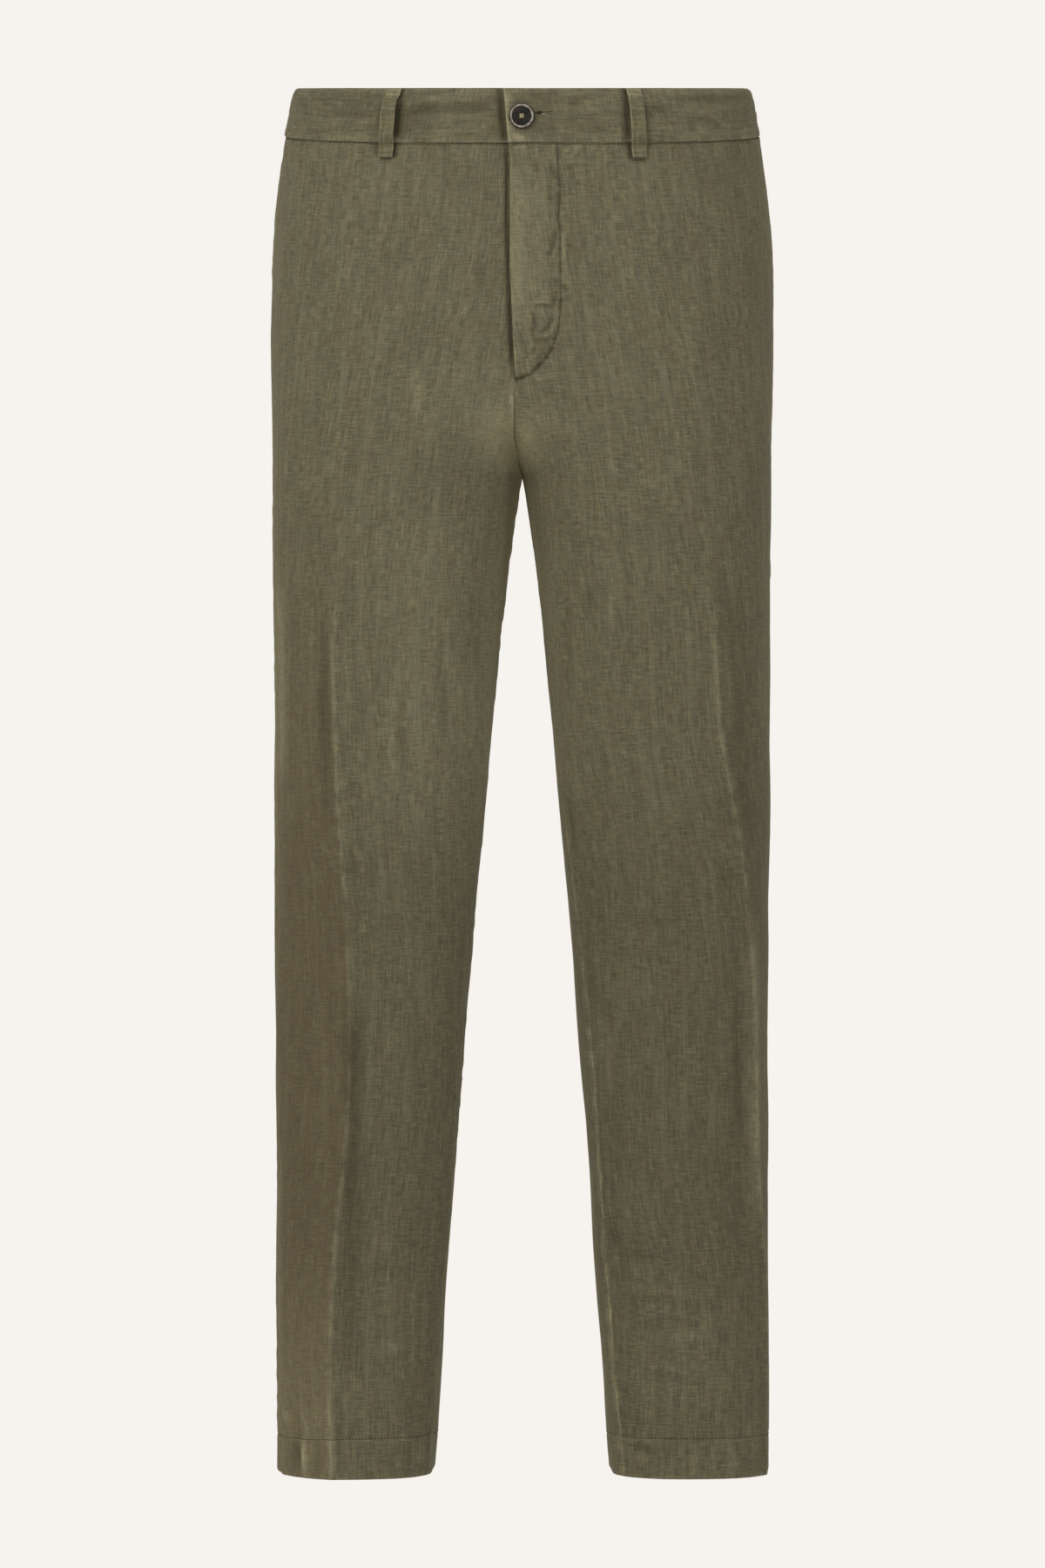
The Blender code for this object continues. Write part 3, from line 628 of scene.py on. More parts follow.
def cloud(u, v, size_u, size_v, seed):
    """Smooth noise from about -1 to 1. A blob is size_u wide and size_v high."""
    table = np.random.default_rng(seed).uniform(-1, 1, (NOISE_CELLS, NOISE_CELLS))
    a = u / size_u + NOISE_START[0]
    b = v / size_v + NOISE_START[1]
    i = np.floor(a).astype(int)
    j = np.floor(b).astype(int)
    s = ease(a - i)
    t = ease(b - j)
    i_next = (i + 1) % NOISE_CELLS
    j_next = (j + 1) % NOISE_CELLS
    i = i % NOISE_CELLS
    j = j % NOISE_CELLS
    low = table[i, j] * (1 - s) + table[i_next, j] * s
    high = table[i, j_next] * (1 - s) + table[i_next, j_next] * s
    return low * (1 - t) + high * t


# size across and along the cloth, and height, in millimetres
RUMPLES = [
    (46, 88, 1.00),
    (21, 60, 0.42),
    (11, 42, 0.22),
    (5.5, 26, 0.09),
    (5, 6, 0.05),
]


def rumple(grid, seed):
    """The whole cloth's faint unevenness, from broad waves down to the grain."""
    relief = np.zeros_like(grid["x"])
    for k, (across, along, height) in enumerate(RUMPLES):
        noise = cloud(grid["from_crease"], grid["level"], across * MM, along * MM, seed + k)
        relief += height * MM * noise
    return relief


# %% Two profiles, with widths in millimetres
def bell(distance, width):
    """1 in the middle, falling off smoothly to both sides."""
    return np.exp(-(distance / (width * MM)) ** 2)


def fading(distance, width):
    """1 at an edge, dying out away from it."""
    return np.exp(-distance / (width * MM))


# %% A stroke: one listed ridge or trough
def nearest_on_path(x, level, path):
    """Distance of each point from a bent line, and how far along it the nearest place is, 0 to 1."""
    path = np.array(path, float) * MM
    steps = np.hypot(*np.diff(path, axis=0).T)
    done = np.concatenate(([0.0], np.cumsum(steps))) / steps.sum()
    best = np.full(x.shape, np.inf)
    share = np.zeros(x.shape)
    for k, (start, end) in enumerate(zip(path, path[1:])):
        run = end - start
        t = ((x - start[0]) * run[0] + (level - start[1]) * run[1]) / (run @ run)
        t = np.clip(t, 0, 1)
        away = np.hypot(x - start[0] - t * run[0], level - start[1] - t * run[1])
        closer = away < best
        best = np.where(closer, away, best)
        share = np.where(closer, done[k] + t * (done[k + 1] - done[k]), share)
    return best, share


def stroke(grid, path, half_width, amount, ends=0.25):
    """A soft ridge (or a trough, below zero) along a path of (x, level) places in millimetres.

    ends is the share of its length in which each end runs out. A waistband goes on round the back,
    where it has no strokes.
    """
    reach = 3 * half_width * MM
    down = -grid["point"][:, :, 2]
    spots = np.array(path, float) * MM
    inside = (grid["x"] > spots[:, 0].min() - reach) & (grid["x"] < spots[:, 0].max() + reach)
    inside &= (down > spots[:, 1].min() - reach) & (down < spots[:, 1].max() + reach)
    if grid["name"].startswith("waistband"):
        inside &= grid["point"][:, :, 1] < 0
    relief = np.zeros_like(grid["x"])
    if inside.any():
        away, share = nearest_on_path(grid["x"][inside], down[inside], path)
        taper = smoothstep(0, ends, share) * smoothstep(0, ends, 1 - share)
        relief[inside] = amount * bell(away, half_width) * taper
    return relief


# %% The creases of the wearer's left front
# for each piece, rows of: path of (x, depth below the waist) places, half width and height, all in mm
CREASES = {}
CREASES["front_left"] = [
    # beside the fly's stitching
    ([(30.2, 67.1), (36.1, 63.9), (39.4, 59.9), (42, 55.4)], 1.5, 1.0),
    ([(36.1, 65.8), (42.7, 59.9), (45.3, 56)], 1.5, 0.9),
    ([(33, 64.5), (37, 60), (39, 56)], 1.3, -0.7),
    ([(39, 64.5), (43.5, 61.5), (47, 57)], 1.3, -0.6),
    ([(29.5, 71), (39.4, 68.4), (52, 67.4)], 1.4, 0.8),
    ([(31, 74), (37, 73), (42, 71)], 2.2, -0.6),
    ([(50, 60), (56, 55), (62, 53)], 1.8, 0.5),
    ([(31.6, 81.5), (36.1, 78.2)], 1.4, 0.6),
    ([(32.9, 87.4), (37.5, 86)], 1.4, 0.6),
    ([(33.5, 103), (36.8, 109)], 1.6, 0.7),
    ([(21.7, 65), (22.4, 73.6), (24.4, 78.2), (26.3, 83)], 1.5, -0.8),
    ([(18, 88), (26.3, 88.4)], 1.2, -0.6),
    ([(24.8, 101), (26.2, 106), (27, 110)], 1.5, -0.7),
    ([(27, 118), (24.4, 127.3), (22.4, 133.8), (20.4, 142)], 1.6, -1.1),
    ([(24.5, 133), (23.5, 139), (22.5, 144)], 1.8, 0.6),
    ([(30.9, 121), (31.8, 133.8), (30.9, 145)], 2.0, 1.0),
    ([(34.5, 120), (36, 134), (35, 146)], 2.4, -0.4),
    ([(24.4, 157), (27, 164)], 1.4, -0.8),
    ([(30.2, 161), (34.2, 167.4)], 1.5, -0.9),
    ([(33, 158), (36.5, 163)], 1.6, 0.7),
    ([(27, 165.2), (24.4, 171.7), (23.7, 179)], 1.5, -1.0),
    ([(-7.7, 180.4), (3.4, 178.9), (8, 179.9)], 1.2, -0.45),
    ([(8, 180.2), (11.9, 177.6), (16.5, 177.6), (21.1, 178.3), (26.3, 179.8)], 1.3, -1.1),
    ([(9, 175.5), (16.5, 174.8), (24, 176)], 1.6, 0.7),
    ([(8.7, 179), (8.7, 189.4), (8, 195.9), (8.7, 202)], 1.3, -1.0),
    ([(6.2, 182), (6.2, 190), (5.6, 198)], 1.6, 0.6),
    ([(24.4, 183), (21.1, 189.4), (19.1, 194.6), (16.5, 196.6), (11.9, 199)], 1.5, -1.1),
    ([(26, 188), (22.8, 194), (20.5, 199)], 1.6, 0.7),
    ([(-4.5, 204.4), (3, 205.2), (8, 205.1)], 1.2, -0.5),
    ([(7, 205.4), (11.9, 203.8), (16.5, 203.1), (19.8, 205.1), (22, 208)], 1.3, -1.1),
    ([(16.5, 203), (21.1, 202.5), (27, 201.6)], 1.2, -0.8),
    ([(10, 201), (16, 200.4), (21, 199.6)], 1.4, 0.6),
    ([(11, 208.4), (8.7, 212.3), (5, 216)], 1.5, -0.8),
    ([(13, 209.5), (11, 213.5), (8, 217.5)], 1.6, 0.5),
    ([(0.8, 215), (2.1, 222.7), (2.8, 229)], 1.4, -0.5),
    ([(3.4, 216), (4.6, 222.7), (5.2, 228)], 1.5, 0.5),
    ([(6.7, 233.6), (16.5, 231.8), (28, 229)], 1.7, 0.7),
    ([(27, 216), (18, 224), (6, 231)], 4.0, 0.5),
    ([(47, 66), (52, 61), (54, 56)], 1.4, 0.7),
    ([(56, 64), (60, 60), (64, 56)], 1.4, 0.6),
    ([(64, 62), (70, 58), (76, 55)], 1.5, 0.5),
    # the centre seam's valley, and what runs out of it
    ([(14, 258), (12, 280), (6, 300)], 6.0, -0.8),
    ([(6, 240), (24, 247), (44, 243)], 4.5, -0.7),
    ([(8, 262), (30, 270), (52, 284)], 8.0, 0.8),
    ([(68, 262), (88, 284), (98, 310)], 7.0, -0.7),
    # thighs
    ([(73, 385), (74, 405), (74, 432)], 3.0, -1.8),
    ([(67, 390), (68, 412), (67, 432)], 3.6, 1.2),
    ([(48, 385), (50, 398), (50, 412)], 3.2, -1.2),
    ([(79, 430), (80, 440), (79, 452)], 3.0, -1.3),
    ([(30, 370), (34, 430), (38, 490)], 3.4, -1.0),
    ([(62, 455), (64, 480), (67, 504)], 3.4, -1.0),
    ([(42, 358), (52, 354), (60, 358)], 3.6, -1.2),
    ([(24, 330), (26, 342), (30, 352)], 6.0, -1.0),
    ([(33, 535), (34, 560), (37, 600)], 5.0, -2.2),
    ([(32, 549), (60, 553), (80, 557)], 2.4, -0.5),
    ([(150, 596), (152, 610), (153, 622)], 3.6, -1.4),
    # wearer's left leg: the hollow beside its crease
    ([(157, 670), (163, 740), (164, 800), (162, 860)], 5.0, -1.8),
    ([(156, 880), (160, 930), (162, 980)], 7.0, -1.0),
    ([(58, 700), (60, 730), (60, 760)], 3.4, 0.9),
    ([(66, 706), (67, 740), (65, 792)], 3.4, 0.8),
    # fine wrinkles across the lower leg
    ([(70, 893), (90, 898), (116, 896)], 3.8, -1.1),
    ([(72, 925), (88, 929), (106, 929), (124, 934), (144, 936)], 2.2, -0.5),
    ([(76, 919), (104, 922), (138, 928)], 2.4, 0.4),
    ([(82, 984), (96, 985), (110, 989), (138, 993)], 2.2, -0.5),
    ([(84, 977), (110, 981), (136, 986)], 2.4, 0.4),
    ([(76, 952), (92, 949), (112, 951)], 2.2, -0.35),
    ([(100, 955), (120, 958), (150, 956)], 5.0, 1.0),
    # knees: bands across the front where the leg bends
    ([(44, 640), (80, 645), (120, 641), (150, 648)], 7.0, -0.9),
    ([(50, 672), (90, 668), (130, 676)], 7.0, -0.7),
    # fans out of the inseams
    ([(56, 838), (61, 836), (68, 840)], 3.0, -1.1),
    ([(60, 856), (66, 862), (74, 863)], 3.6, 0.9),
    ([(62, 874), (68, 880), (76, 893)], 3.4, -1.2),
    ([(64, 895), (70, 900), (73, 908)], 3.4, 0.8),
    ([(66, 930), (72, 942), (79, 950)], 3.0, -0.7),
    ([(68, 960), (76, 972), (86, 980)], 3.0, -0.7),
    ([(72, 990), (80, 1003), (90, 1010)], 3.0, -0.7),
    ([(74, 1012), (84, 1022), (97, 1026)], 3.0, -0.8),
    ([(76, 1042), (88, 1043), (104, 1046)], 3.0, -1.0),
    ([(76, 1048), (90, 1050), (106, 1054)], 3.2, 0.8),
]

# %% The creases of the wearer's right front
CREASES["front_right"] = [
    # wearer's right front: the short fold by the fly, and what runs down from it
    ([(-36, 140), (-32, 155), (-27, 171)], 3.2, -1.2),
    ([(-41, 140), (-38, 155), (-34, 172)], 4.0, 0.6),
    ([(-82, 215), (-79, 240), (-77, 268)], 4.0, 0.3),
    ([(-90, 262), (-92, 290), (-96, 330)], 7.0, -0.8),
    ([(-56, 180), (-62, 215), (-66, 250)], 8.0, -0.7),
    ([(-122, 255), (-126, 300), (-128, 345)], 9.0, -0.7),
    # the centre seam's valley
    ([(-16, 262), (-12, 282), (-8, 300)], 6.0, -1.2),
    # thighs
    ([(-91, 440), (-90, 500), (-88, 560)], 3.4, -1.3),
    ([(-98, 450), (-98, 500), (-97, 550)], 4.0, 0.6),
    ([(-62, 405), (-59, 470), (-58, 540)], 3.4, -1.1),
    ([(-66, 535), (-65, 575), (-66, 600)], 3.4, -0.7),
    ([(-40, 385), (-34, 420), (-26, 480)], 8.0, -1.5),
    ([(-106, 340), (-107, 360), (-107, 380)], 4.0, 0.8),
    ([(-132, 400), (-131, 412), (-132, 420)], 3.6, -1.0),
    ([(-131, 450), (-130, 462), (-131, 472)], 4.0, -0.9),
    # wearer's right leg: the hollow along the inner side of the crease, and its outer side
    ([(-130, 556), (-127, 600), (-128, 700), (-128, 800), (-131, 880), (-134, 985)], 6.5, -2.1),
    ([(-150, 366), (-149, 440), (-148, 520), (-150, 600)], 4.5, -1.9),
    ([(-126, 588), (-129, 600), (-127, 615)], 4.0, -1.4),
    ([(-96, 690), (-90, 745), (-93, 800)], 12.0, 0.9),
    ([(-106, 860), (-100, 900), (-97, 950)], 10.0, 0.8),
    # across the lower leg
    ([(-84, 905), (-100, 908), (-124, 903)], 5.0, -1.0),
    ([(-78, 962), (-98, 966), (-118, 963)], 5.0, 0.9),
    # knees: bands across the front where the leg bends
    ([(-60, 640), (-92, 648), (-118, 640)], 7.0, -0.7),
    # folds at the outer part of the wearer's right hem
    ([(-183, 1010), (-179, 1020), (-174, 1031)], 3.0, 1.6),
    ([(-168, 1008), (-165, 1020), (-163, 1034)], 2.6, 1.0),
    ([(-166, 1034), (-165.5, 1050), (-165, 1066)], 2.8, 2.2),
    ([(-172, 1034), (-171, 1050), (-171, 1066)], 3.0, -1.6),
    ([(-156, 1006), (-154, 1018), (-152, 1032)], 2.6, 0.8),
    ([(-143, 985), (-146, 1010), (-143, 1034), (-142, 1062)], 3.0, 1.4),
    ([(-80, 1038), (-78, 1052), (-79, 1064)], 3.4, 1.0),
    ([(-72, 1034), (-70, 1050), (-71, 1066)], 2.6, -1.0),
]

# %% The creases of the backs: similar ones, where sitting and walking put them
# Behind the knees and under the seat the cloth folds across the leg.
CREASES["back_left"] = [
    ([(10, 296), (54, 334), (112, 350), (172, 346)], 7.5, -1.6),
    ([(20, 324), (66, 356), (124, 378), (170, 380)], 6.0, -1.2),
    ([(24, 372), (62, 420), (92, 482)], 9.0, -1.1),
    ([(34, 566), (84, 590), (136, 588), (180, 572)], 6.0, -1.4),
    ([(40, 604), (90, 616), (140, 606), (182, 612)], 5.0, -1.3),
    ([(46, 652), (104, 646), (160, 634), (186, 630)], 6.5, -1.2),
    ([(54, 684), (98, 676), (150, 690)], 7.0, -0.9),
    ([(34, 128), (66, 160), (86, 210)], 12.0, -1.0),
    ([(6, 206), (34, 226), (58, 234)], 6.0, -0.9),
    ([(92, 740), (100, 840), (94, 930)], 10.0, -1.2),
    ([(142, 820), (150, 900), (148, 980)], 9.0, 1.0),
    ([(104, 1012), (106, 1036), (104, 1062)], 3.4, 1.2),
    ([(146, 1018), (148, 1042), (146, 1064)], 3.0, 1.2),
]
CREASES["back_right"] = [
    ([(-10, 292), (-60, 326), (-120, 346), (-176, 350)], 8.0, -1.7),
    ([(-18, 330), (-60, 368), (-112, 392), (-160, 398)], 6.5, -1.3),
    ([(-26, 380), (-58, 424), (-84, 476)], 8.0, -1.1),
    ([(-34, 574), (-80, 598), (-130, 600), (-180, 584)], 6.0, -1.5),
    ([(-42, 624), (-92, 616), (-146, 630), (-184, 642)], 5.0, -1.2),
    ([(-48, 644), (-96, 662), (-150, 660), (-184, 652)], 6.5, -1.3),
    ([(-54, 700), (-104, 688), (-152, 702)], 7.0, -0.8),
    ([(-30, 120), (-60, 150), (-84, 200)], 12.0, -1.0),
    ([(-6, 200), (-30, 222), (-62, 232)], 6.0, -0.9),
    ([(-96, 760), (-90, 850), (-98, 940)], 10.0, -1.2),
    ([(-140, 800), (-148, 880), (-150, 960)], 9.0, 1.0),
    ([(-110, 1010), (-112, 1036), (-110, 1062)], 3.4, 1.2),
    ([(-150, 1020), (-152, 1042), (-150, 1064)], 3.0, 1.2),
]
print("hand-placed creases:", sum(len(rows) for rows in CREASES.values()))


# %% Puckers square to a seam
def puckers(along, away, spacing, reach, height, seed, lean=0.0):
    """Small uneven ridges square to a seam, dying out within reach of it. lean slants them."""
    place = along + lean * away
    strong = 0.55 + 0.45 * cloud(along, along * 0, 9 * spacing * MM, 1.0, seed + 5)
    wave = cloud(place, place * 0, spacing * MM, 1.0, seed)
    wave = wave + 0.5 * cloud(place, place * 0, 0.5 * spacing * MM, 1.0, seed + 1)
    return height * MM * wave * strong * fading(away, reach)


def from_seams(grid):
    """Distance from the nearest of a panel's long seams: side seam, inseam or centre seam."""
    return np.minimum(grid["from_inner"], grid["from_outer"])


def away_from_seams(grid, reach):
    """0 at the long seams, and 1 from reach on."""
    return smoothstep(0.0, reach * MM, from_seams(grid))


SEAM_SEED = 500
CENTRE_SEED = 570
HEM_GROOVE = 0.35 * MM


def seam_relief(grid, seed):
    """Puckers along the waist seam, the side seam, the inseam or centre seam, and the hem's stitches.

    A seam gathers both of its panels alike, so the two have the same puckers there.
    """
    level = grid["level"]
    below_waist = np.maximum(level - BAND_HEIGHT_SIDE, 0)
    relief = puckers(grid["from_crease"], below_waist, 5, 7, 1.3, seed + 30, 0.7)
    relief += puckers(grid["from_crease"], np.abs(level - HEM_TOP), 6, 9, 1.2, seed + 40)
    relief += puckers(grid["from_crease"], WAIST_TO_HEM - level, 12, 26, 1.3, seed + 45)
    relief *= away_from_seams(grid, 5)
    leg = smoothstep(WAIST_TO_CROTCH - 0.02, WAIST_TO_CROTCH + 0.02, level)
    both = SEAM_SEED + 30 * grid["side"]
    relief += puckers(level, grid["from_outer"], 8, 7, 0.7, both)
    relief += puckers(level, grid["from_inner"], 8, 9, 0.9, both + 10, 0.3) * leg
    relief += puckers(level, grid["from_inner"], 9, 6, 0.4, CENTRE_SEED) * (1 - leg)
    relief -= HEM_GROOVE * bell(level - HEM_TOP, 1.6)
    return relief


# %% The sharp edge that the iron leaves
EDGE_HEIGHT = 1.5 * MM
EDGE_ROUND = 0.6 * MM
PRESSED_LEVELS = (0.33, 0.42)  # above these the pressed crease has worn away


def pressed_edge(grid):
    """A narrow ridge on top of the broad one of the pressed crease."""
    away = np.hypot(grid["from_crease"], EDGE_ROUND)
    return EDGE_HEIGHT * fading(away, 5) * smoothstep(*PRESSED_LEVELS, grid["level"])


# %% The relief of the fly and of the turned inseam
# level below the waist and x of the fly's outer stitching, in millimetres
FLY_STITCHING = [
    (38, 26.4), (55, 27.0), (71, 28.4), (88, 27.6), (96, 26.9), (104, 28.2), (126, 28.4), (150, 28.6),
    (165, 28.9), (180, 28.3), (194, 27.0), (205, 23.7), (212, 20.4), (218, 16.5), (227, 8.0),
    (231.5, 0.2), (233.5, -5.6),
]
FLY_FOOT = 0.236  # level of the lowest of that stitching
FLY_ENDS = 0.242
FLY_STITCHED = 0.21  # length of the fly's stitching
FLY_SEED = 911
BEAD_SEED = 921
INSEAM_TURNS = (0.66, 0.74)  # from here down the left leg's inseam lies at the front
INSEAM_RIDGE = 2.4 * MM  # how far from the seam its ridge is


def from_fly_stitching(grid):
    """Distance from the fly's outer stitching, and the share of its length that is passed."""
    return nearest_on_path(grid["x"], grid["level"], [(x, level) for level, x in FLY_STITCHING])


def fly_relief(grid):
    """The wearer's left front: a groove at the fly's stitches, a ridge inside it, and puckers."""
    levels, xs = np.array(FLY_STITCHING).T * MM
    away, share = from_fly_stitching(grid)
    inside = grid["x"] < np.interp(grid["level"], levels, xs)
    relief = -1.0 * MM * bell(away, 0.9)
    relief += 0.8 * MM * bell(away - 2.8 * MM, 1.6) * inside
    relief += puckers(share * FLY_STITCHED, away, 4.6, 5, 2.0, FLY_SEED, 0.5)
    return relief * bell(away, 14) * (grid["level"] < FLY_ENDS)


def inseam_relief(grid):
    """The wearer's left front: its inseam has turned to the front and stands up as a beaded ridge."""
    beads = 0.75 + 0.35 * cloud(grid["level"], grid["level"] * 0, 4.5 * MM, 1.0, BEAD_SEED)
    ridge = 1.2 * MM * beads * bell(grid["from_inner"] - INSEAM_RIDGE, 1.5)
    groove = 0.7 * MM * bell(grid["from_inner"], 1.0)
    return (ridge - groove) * smoothstep(*INSEAM_TURNS, grid["level"])


# %% [markdown]
# ## Rounded edges
#
# Every edge of a garment is a fold: the seam allowances, the hem and the waistband are turned in. So no
# edge may be a cut square one. Near each edge the outer and the inner face draw together along a
# quarter circle. At a seam this also makes the fine groove between two panels.


# %% Rounding
def rounding(distance, radius):
    """How far a face has drawn in at this distance from an edge that is rounded by radius."""
    t = np.clip(distance / radius, 0, 1)
    return radius * (1 - np.sqrt(1 - (1 - t) ** 2))


SEAM_ROUND = 0.42 * MM
HEM_ROUND = 1.15 * MM
FLY_ROUND = 0.7 * MM
FLY_WALL = 1.5 * MM


def edge_inset(grid):
    """How far the outer face of a panel has drawn in near its edges."""
    inset = rounding(from_seams(grid), SEAM_ROUND)
    if grid["name"] == "front_left":
        inset = np.maximum(inset, rounding(grid["from_inner"], FLY_ROUND) * on_fly(grid["level"]))
    return np.maximum(inset, rounding(WAIST_TO_HEM - grid["level"], HEM_ROUND))


def wall_of(grid):
    """The cloth's thickness, doubled where the hem is turned up and where the fly is faced."""
    turned_up = smoothstep(HEM_TOP - 0.5 * MM, HEM_TOP + 0.5 * MM, grid["level"])
    wall = CLOTH_WALL + (HEM_WALL - CLOTH_WALL) * turned_up
    if grid["name"] == "front_left":
        near = 1 - smoothstep(4 * MM, 8 * MM, grid["from_inner"])
        wall = wall + (FLY_WALL - CLOTH_WALL) * near * on_fly(grid["level"])
    return wall


# %% A closed shell from a grid
def store(mesh, measure, values):
    """Keeps a measure of each vertex with the mesh, for its material to read."""
    attribute = mesh.attributes.new(measure, 'FLOAT', 'POINT')
    attribute.data.foreach_set("value", np.asarray(values, dtype=np.float32))


def shell_mesh(name, outer, inner, uv, tints):
    """A closed mesh between two grids of points. tints are colour measures of the outer face."""
    rows, columns = outer.shape[:2]
    count = rows * columns
    index = np.arange(count).reshape(rows, columns)
    a, b, c, d = index[:-1, :-1], index[:-1, 1:], index[1:, 1:], index[1:, :-1]
    quads = [np.stack((a, d, c, b), -1).reshape(-1, 4)]
    quads.append(np.stack((a, b, c, d), -1).reshape(-1, 4) + count)
    for line in (index[0], index[-1][::-1], index[:, -1], index[::-1, 0]):
        quads.append(np.stack((line[:-1], line[1:], line[1:] + count, line[:-1] + count), -1))
    faces = np.concatenate(quads)
    points = np.concatenate((outer.reshape(-1, 3), inner.reshape(-1, 3)))
    i = rows // 2
    j = columns // 2
    across = outer[i, j + 1] - outer[i, j]
    down = outer[i + 1, j] - outer[i, j]
    if np.dot(np.cross(down, across), outer[i, j] - inner[i, j]) < 0:
        faces = faces[:, ::-1]
    mesh = bpy.data.meshes.new(name)
    mesh.vertices.add(len(points))
    mesh.vertices.foreach_set("co", points.astype(np.float32).ravel())
    mesh.loops.add(faces.size)
    mesh.loops.foreach_set("vertex_index", faces.astype(np.int32).ravel())
    mesh.polygons.add(len(faces))
    mesh.polygons.foreach_set("loop_start", np.arange(0, faces.size, 4, dtype=np.int32))
    mesh.update(calc_edges=True)
    mesh.validate()
    flat = np.concatenate((uv.reshape(-1, 2), uv.reshape(-1, 2)))
    layer = mesh.uv_layers.new(name="cut")
    layer.data.foreach_set("uv", flat[faces.ravel()].astype(np.float32).ravel())
    for tint, values in tints.items():
        store(mesh, tint, np.concatenate((values.ravel(), np.zeros(count))))
    mesh.shade_smooth()
    return mesh


# %% A piece of the garment
def add_piece(name, mesh, material):
    """Adds a mesh to the scene as a piece of the garment that moves with its one body."""
    mesh.materials.append(material)
    piece = place_in_scene(name, mesh)
    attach(piece, "root")
    return piece


# %% [markdown]
# ## Linen, piece dyed olive
#
# Linen is flax spun into threads of uneven thickness. In plain weave the thick places, called slubs,
# show as short lighter streaks along both directions. Garment dyeing colours the threads unevenly, so
# the cloth is a mix of olive, grey and brown flecks, and it fades first where it is folded or rubbed.
# Painted light and painted shade are laid into the same colour: paler where the cloth turns away from
# the lamps, darker in troughs and under edges, and browner, as painted warm light, beyond the wearer's
# right pressed crease.
# The real threads lie 0.5 mm apart, which is too fine to show in a picture of the whole garment. So
# the pattern is drawn at a spacing of 1.15 mm. It is laid out in the cut's own metres, so that it
# follows the grain of each panel, as woven cloth does. Flax is matt, with a faint sheen at grazing
# angles from its loose fibres.

# %% Threads of the linen
THREAD_MM = 1.15  # real linen: 0.5 mm, drawn coarser to show
STREAK_MM = 8  # length of a thick place in a thread
SLUB_MM = 1.7  # width of the thickest places
SLUB_LENGTH_MM = 28
# how much each of them says whether a place is light or dark
WEAVE_SHARE = 0.33
SLUB_SHARE = 0.18
GRAIN_SHARE = 0.08


def threads(tree, cut, width, length, seed, detail=1.0):
    """Noise drawn out into threads in the cut's own metres. width and length are in millimetres."""
    spread = add_node(tree, "ShaderNodeMapping", {
        "Vector": cut,
        "Location": (seed, seed * 1.7, 0.0),
        "Scale": (1000 / width, 1000 / length, 1.0),
    })
    return add_node(tree, "ShaderNodeTexNoise", {
        "Vector": spread.outputs[0], "Scale": 1.0, "Detail": detail, "Roughness": 0.55,
    }, noise_dimensions='2D').outputs[0]


def weave_and_slubs(tree, cut):
    """The threads of the weave, and its thick places, each in both directions of the cloth."""
    weave = add_node(tree, "ShaderNodeMath", {
        0: threads(tree, cut, THREAD_MM, STREAK_MM * 1.5, 3.1),
        1: threads(tree, cut, STREAK_MM, THREAD_MM, 7.9),
    }, operation='ADD').outputs[0]
    slubs = add_node(tree, "ShaderNodeMath", {
        0: threads(tree, cut, SLUB_MM, SLUB_LENGTH_MM, 12.3),
        1: threads(tree, cut, SLUB_LENGTH_MM * 0.7, SLUB_MM, 19.7),
    }, operation='ADD').outputs[0]
    return weave, slubs


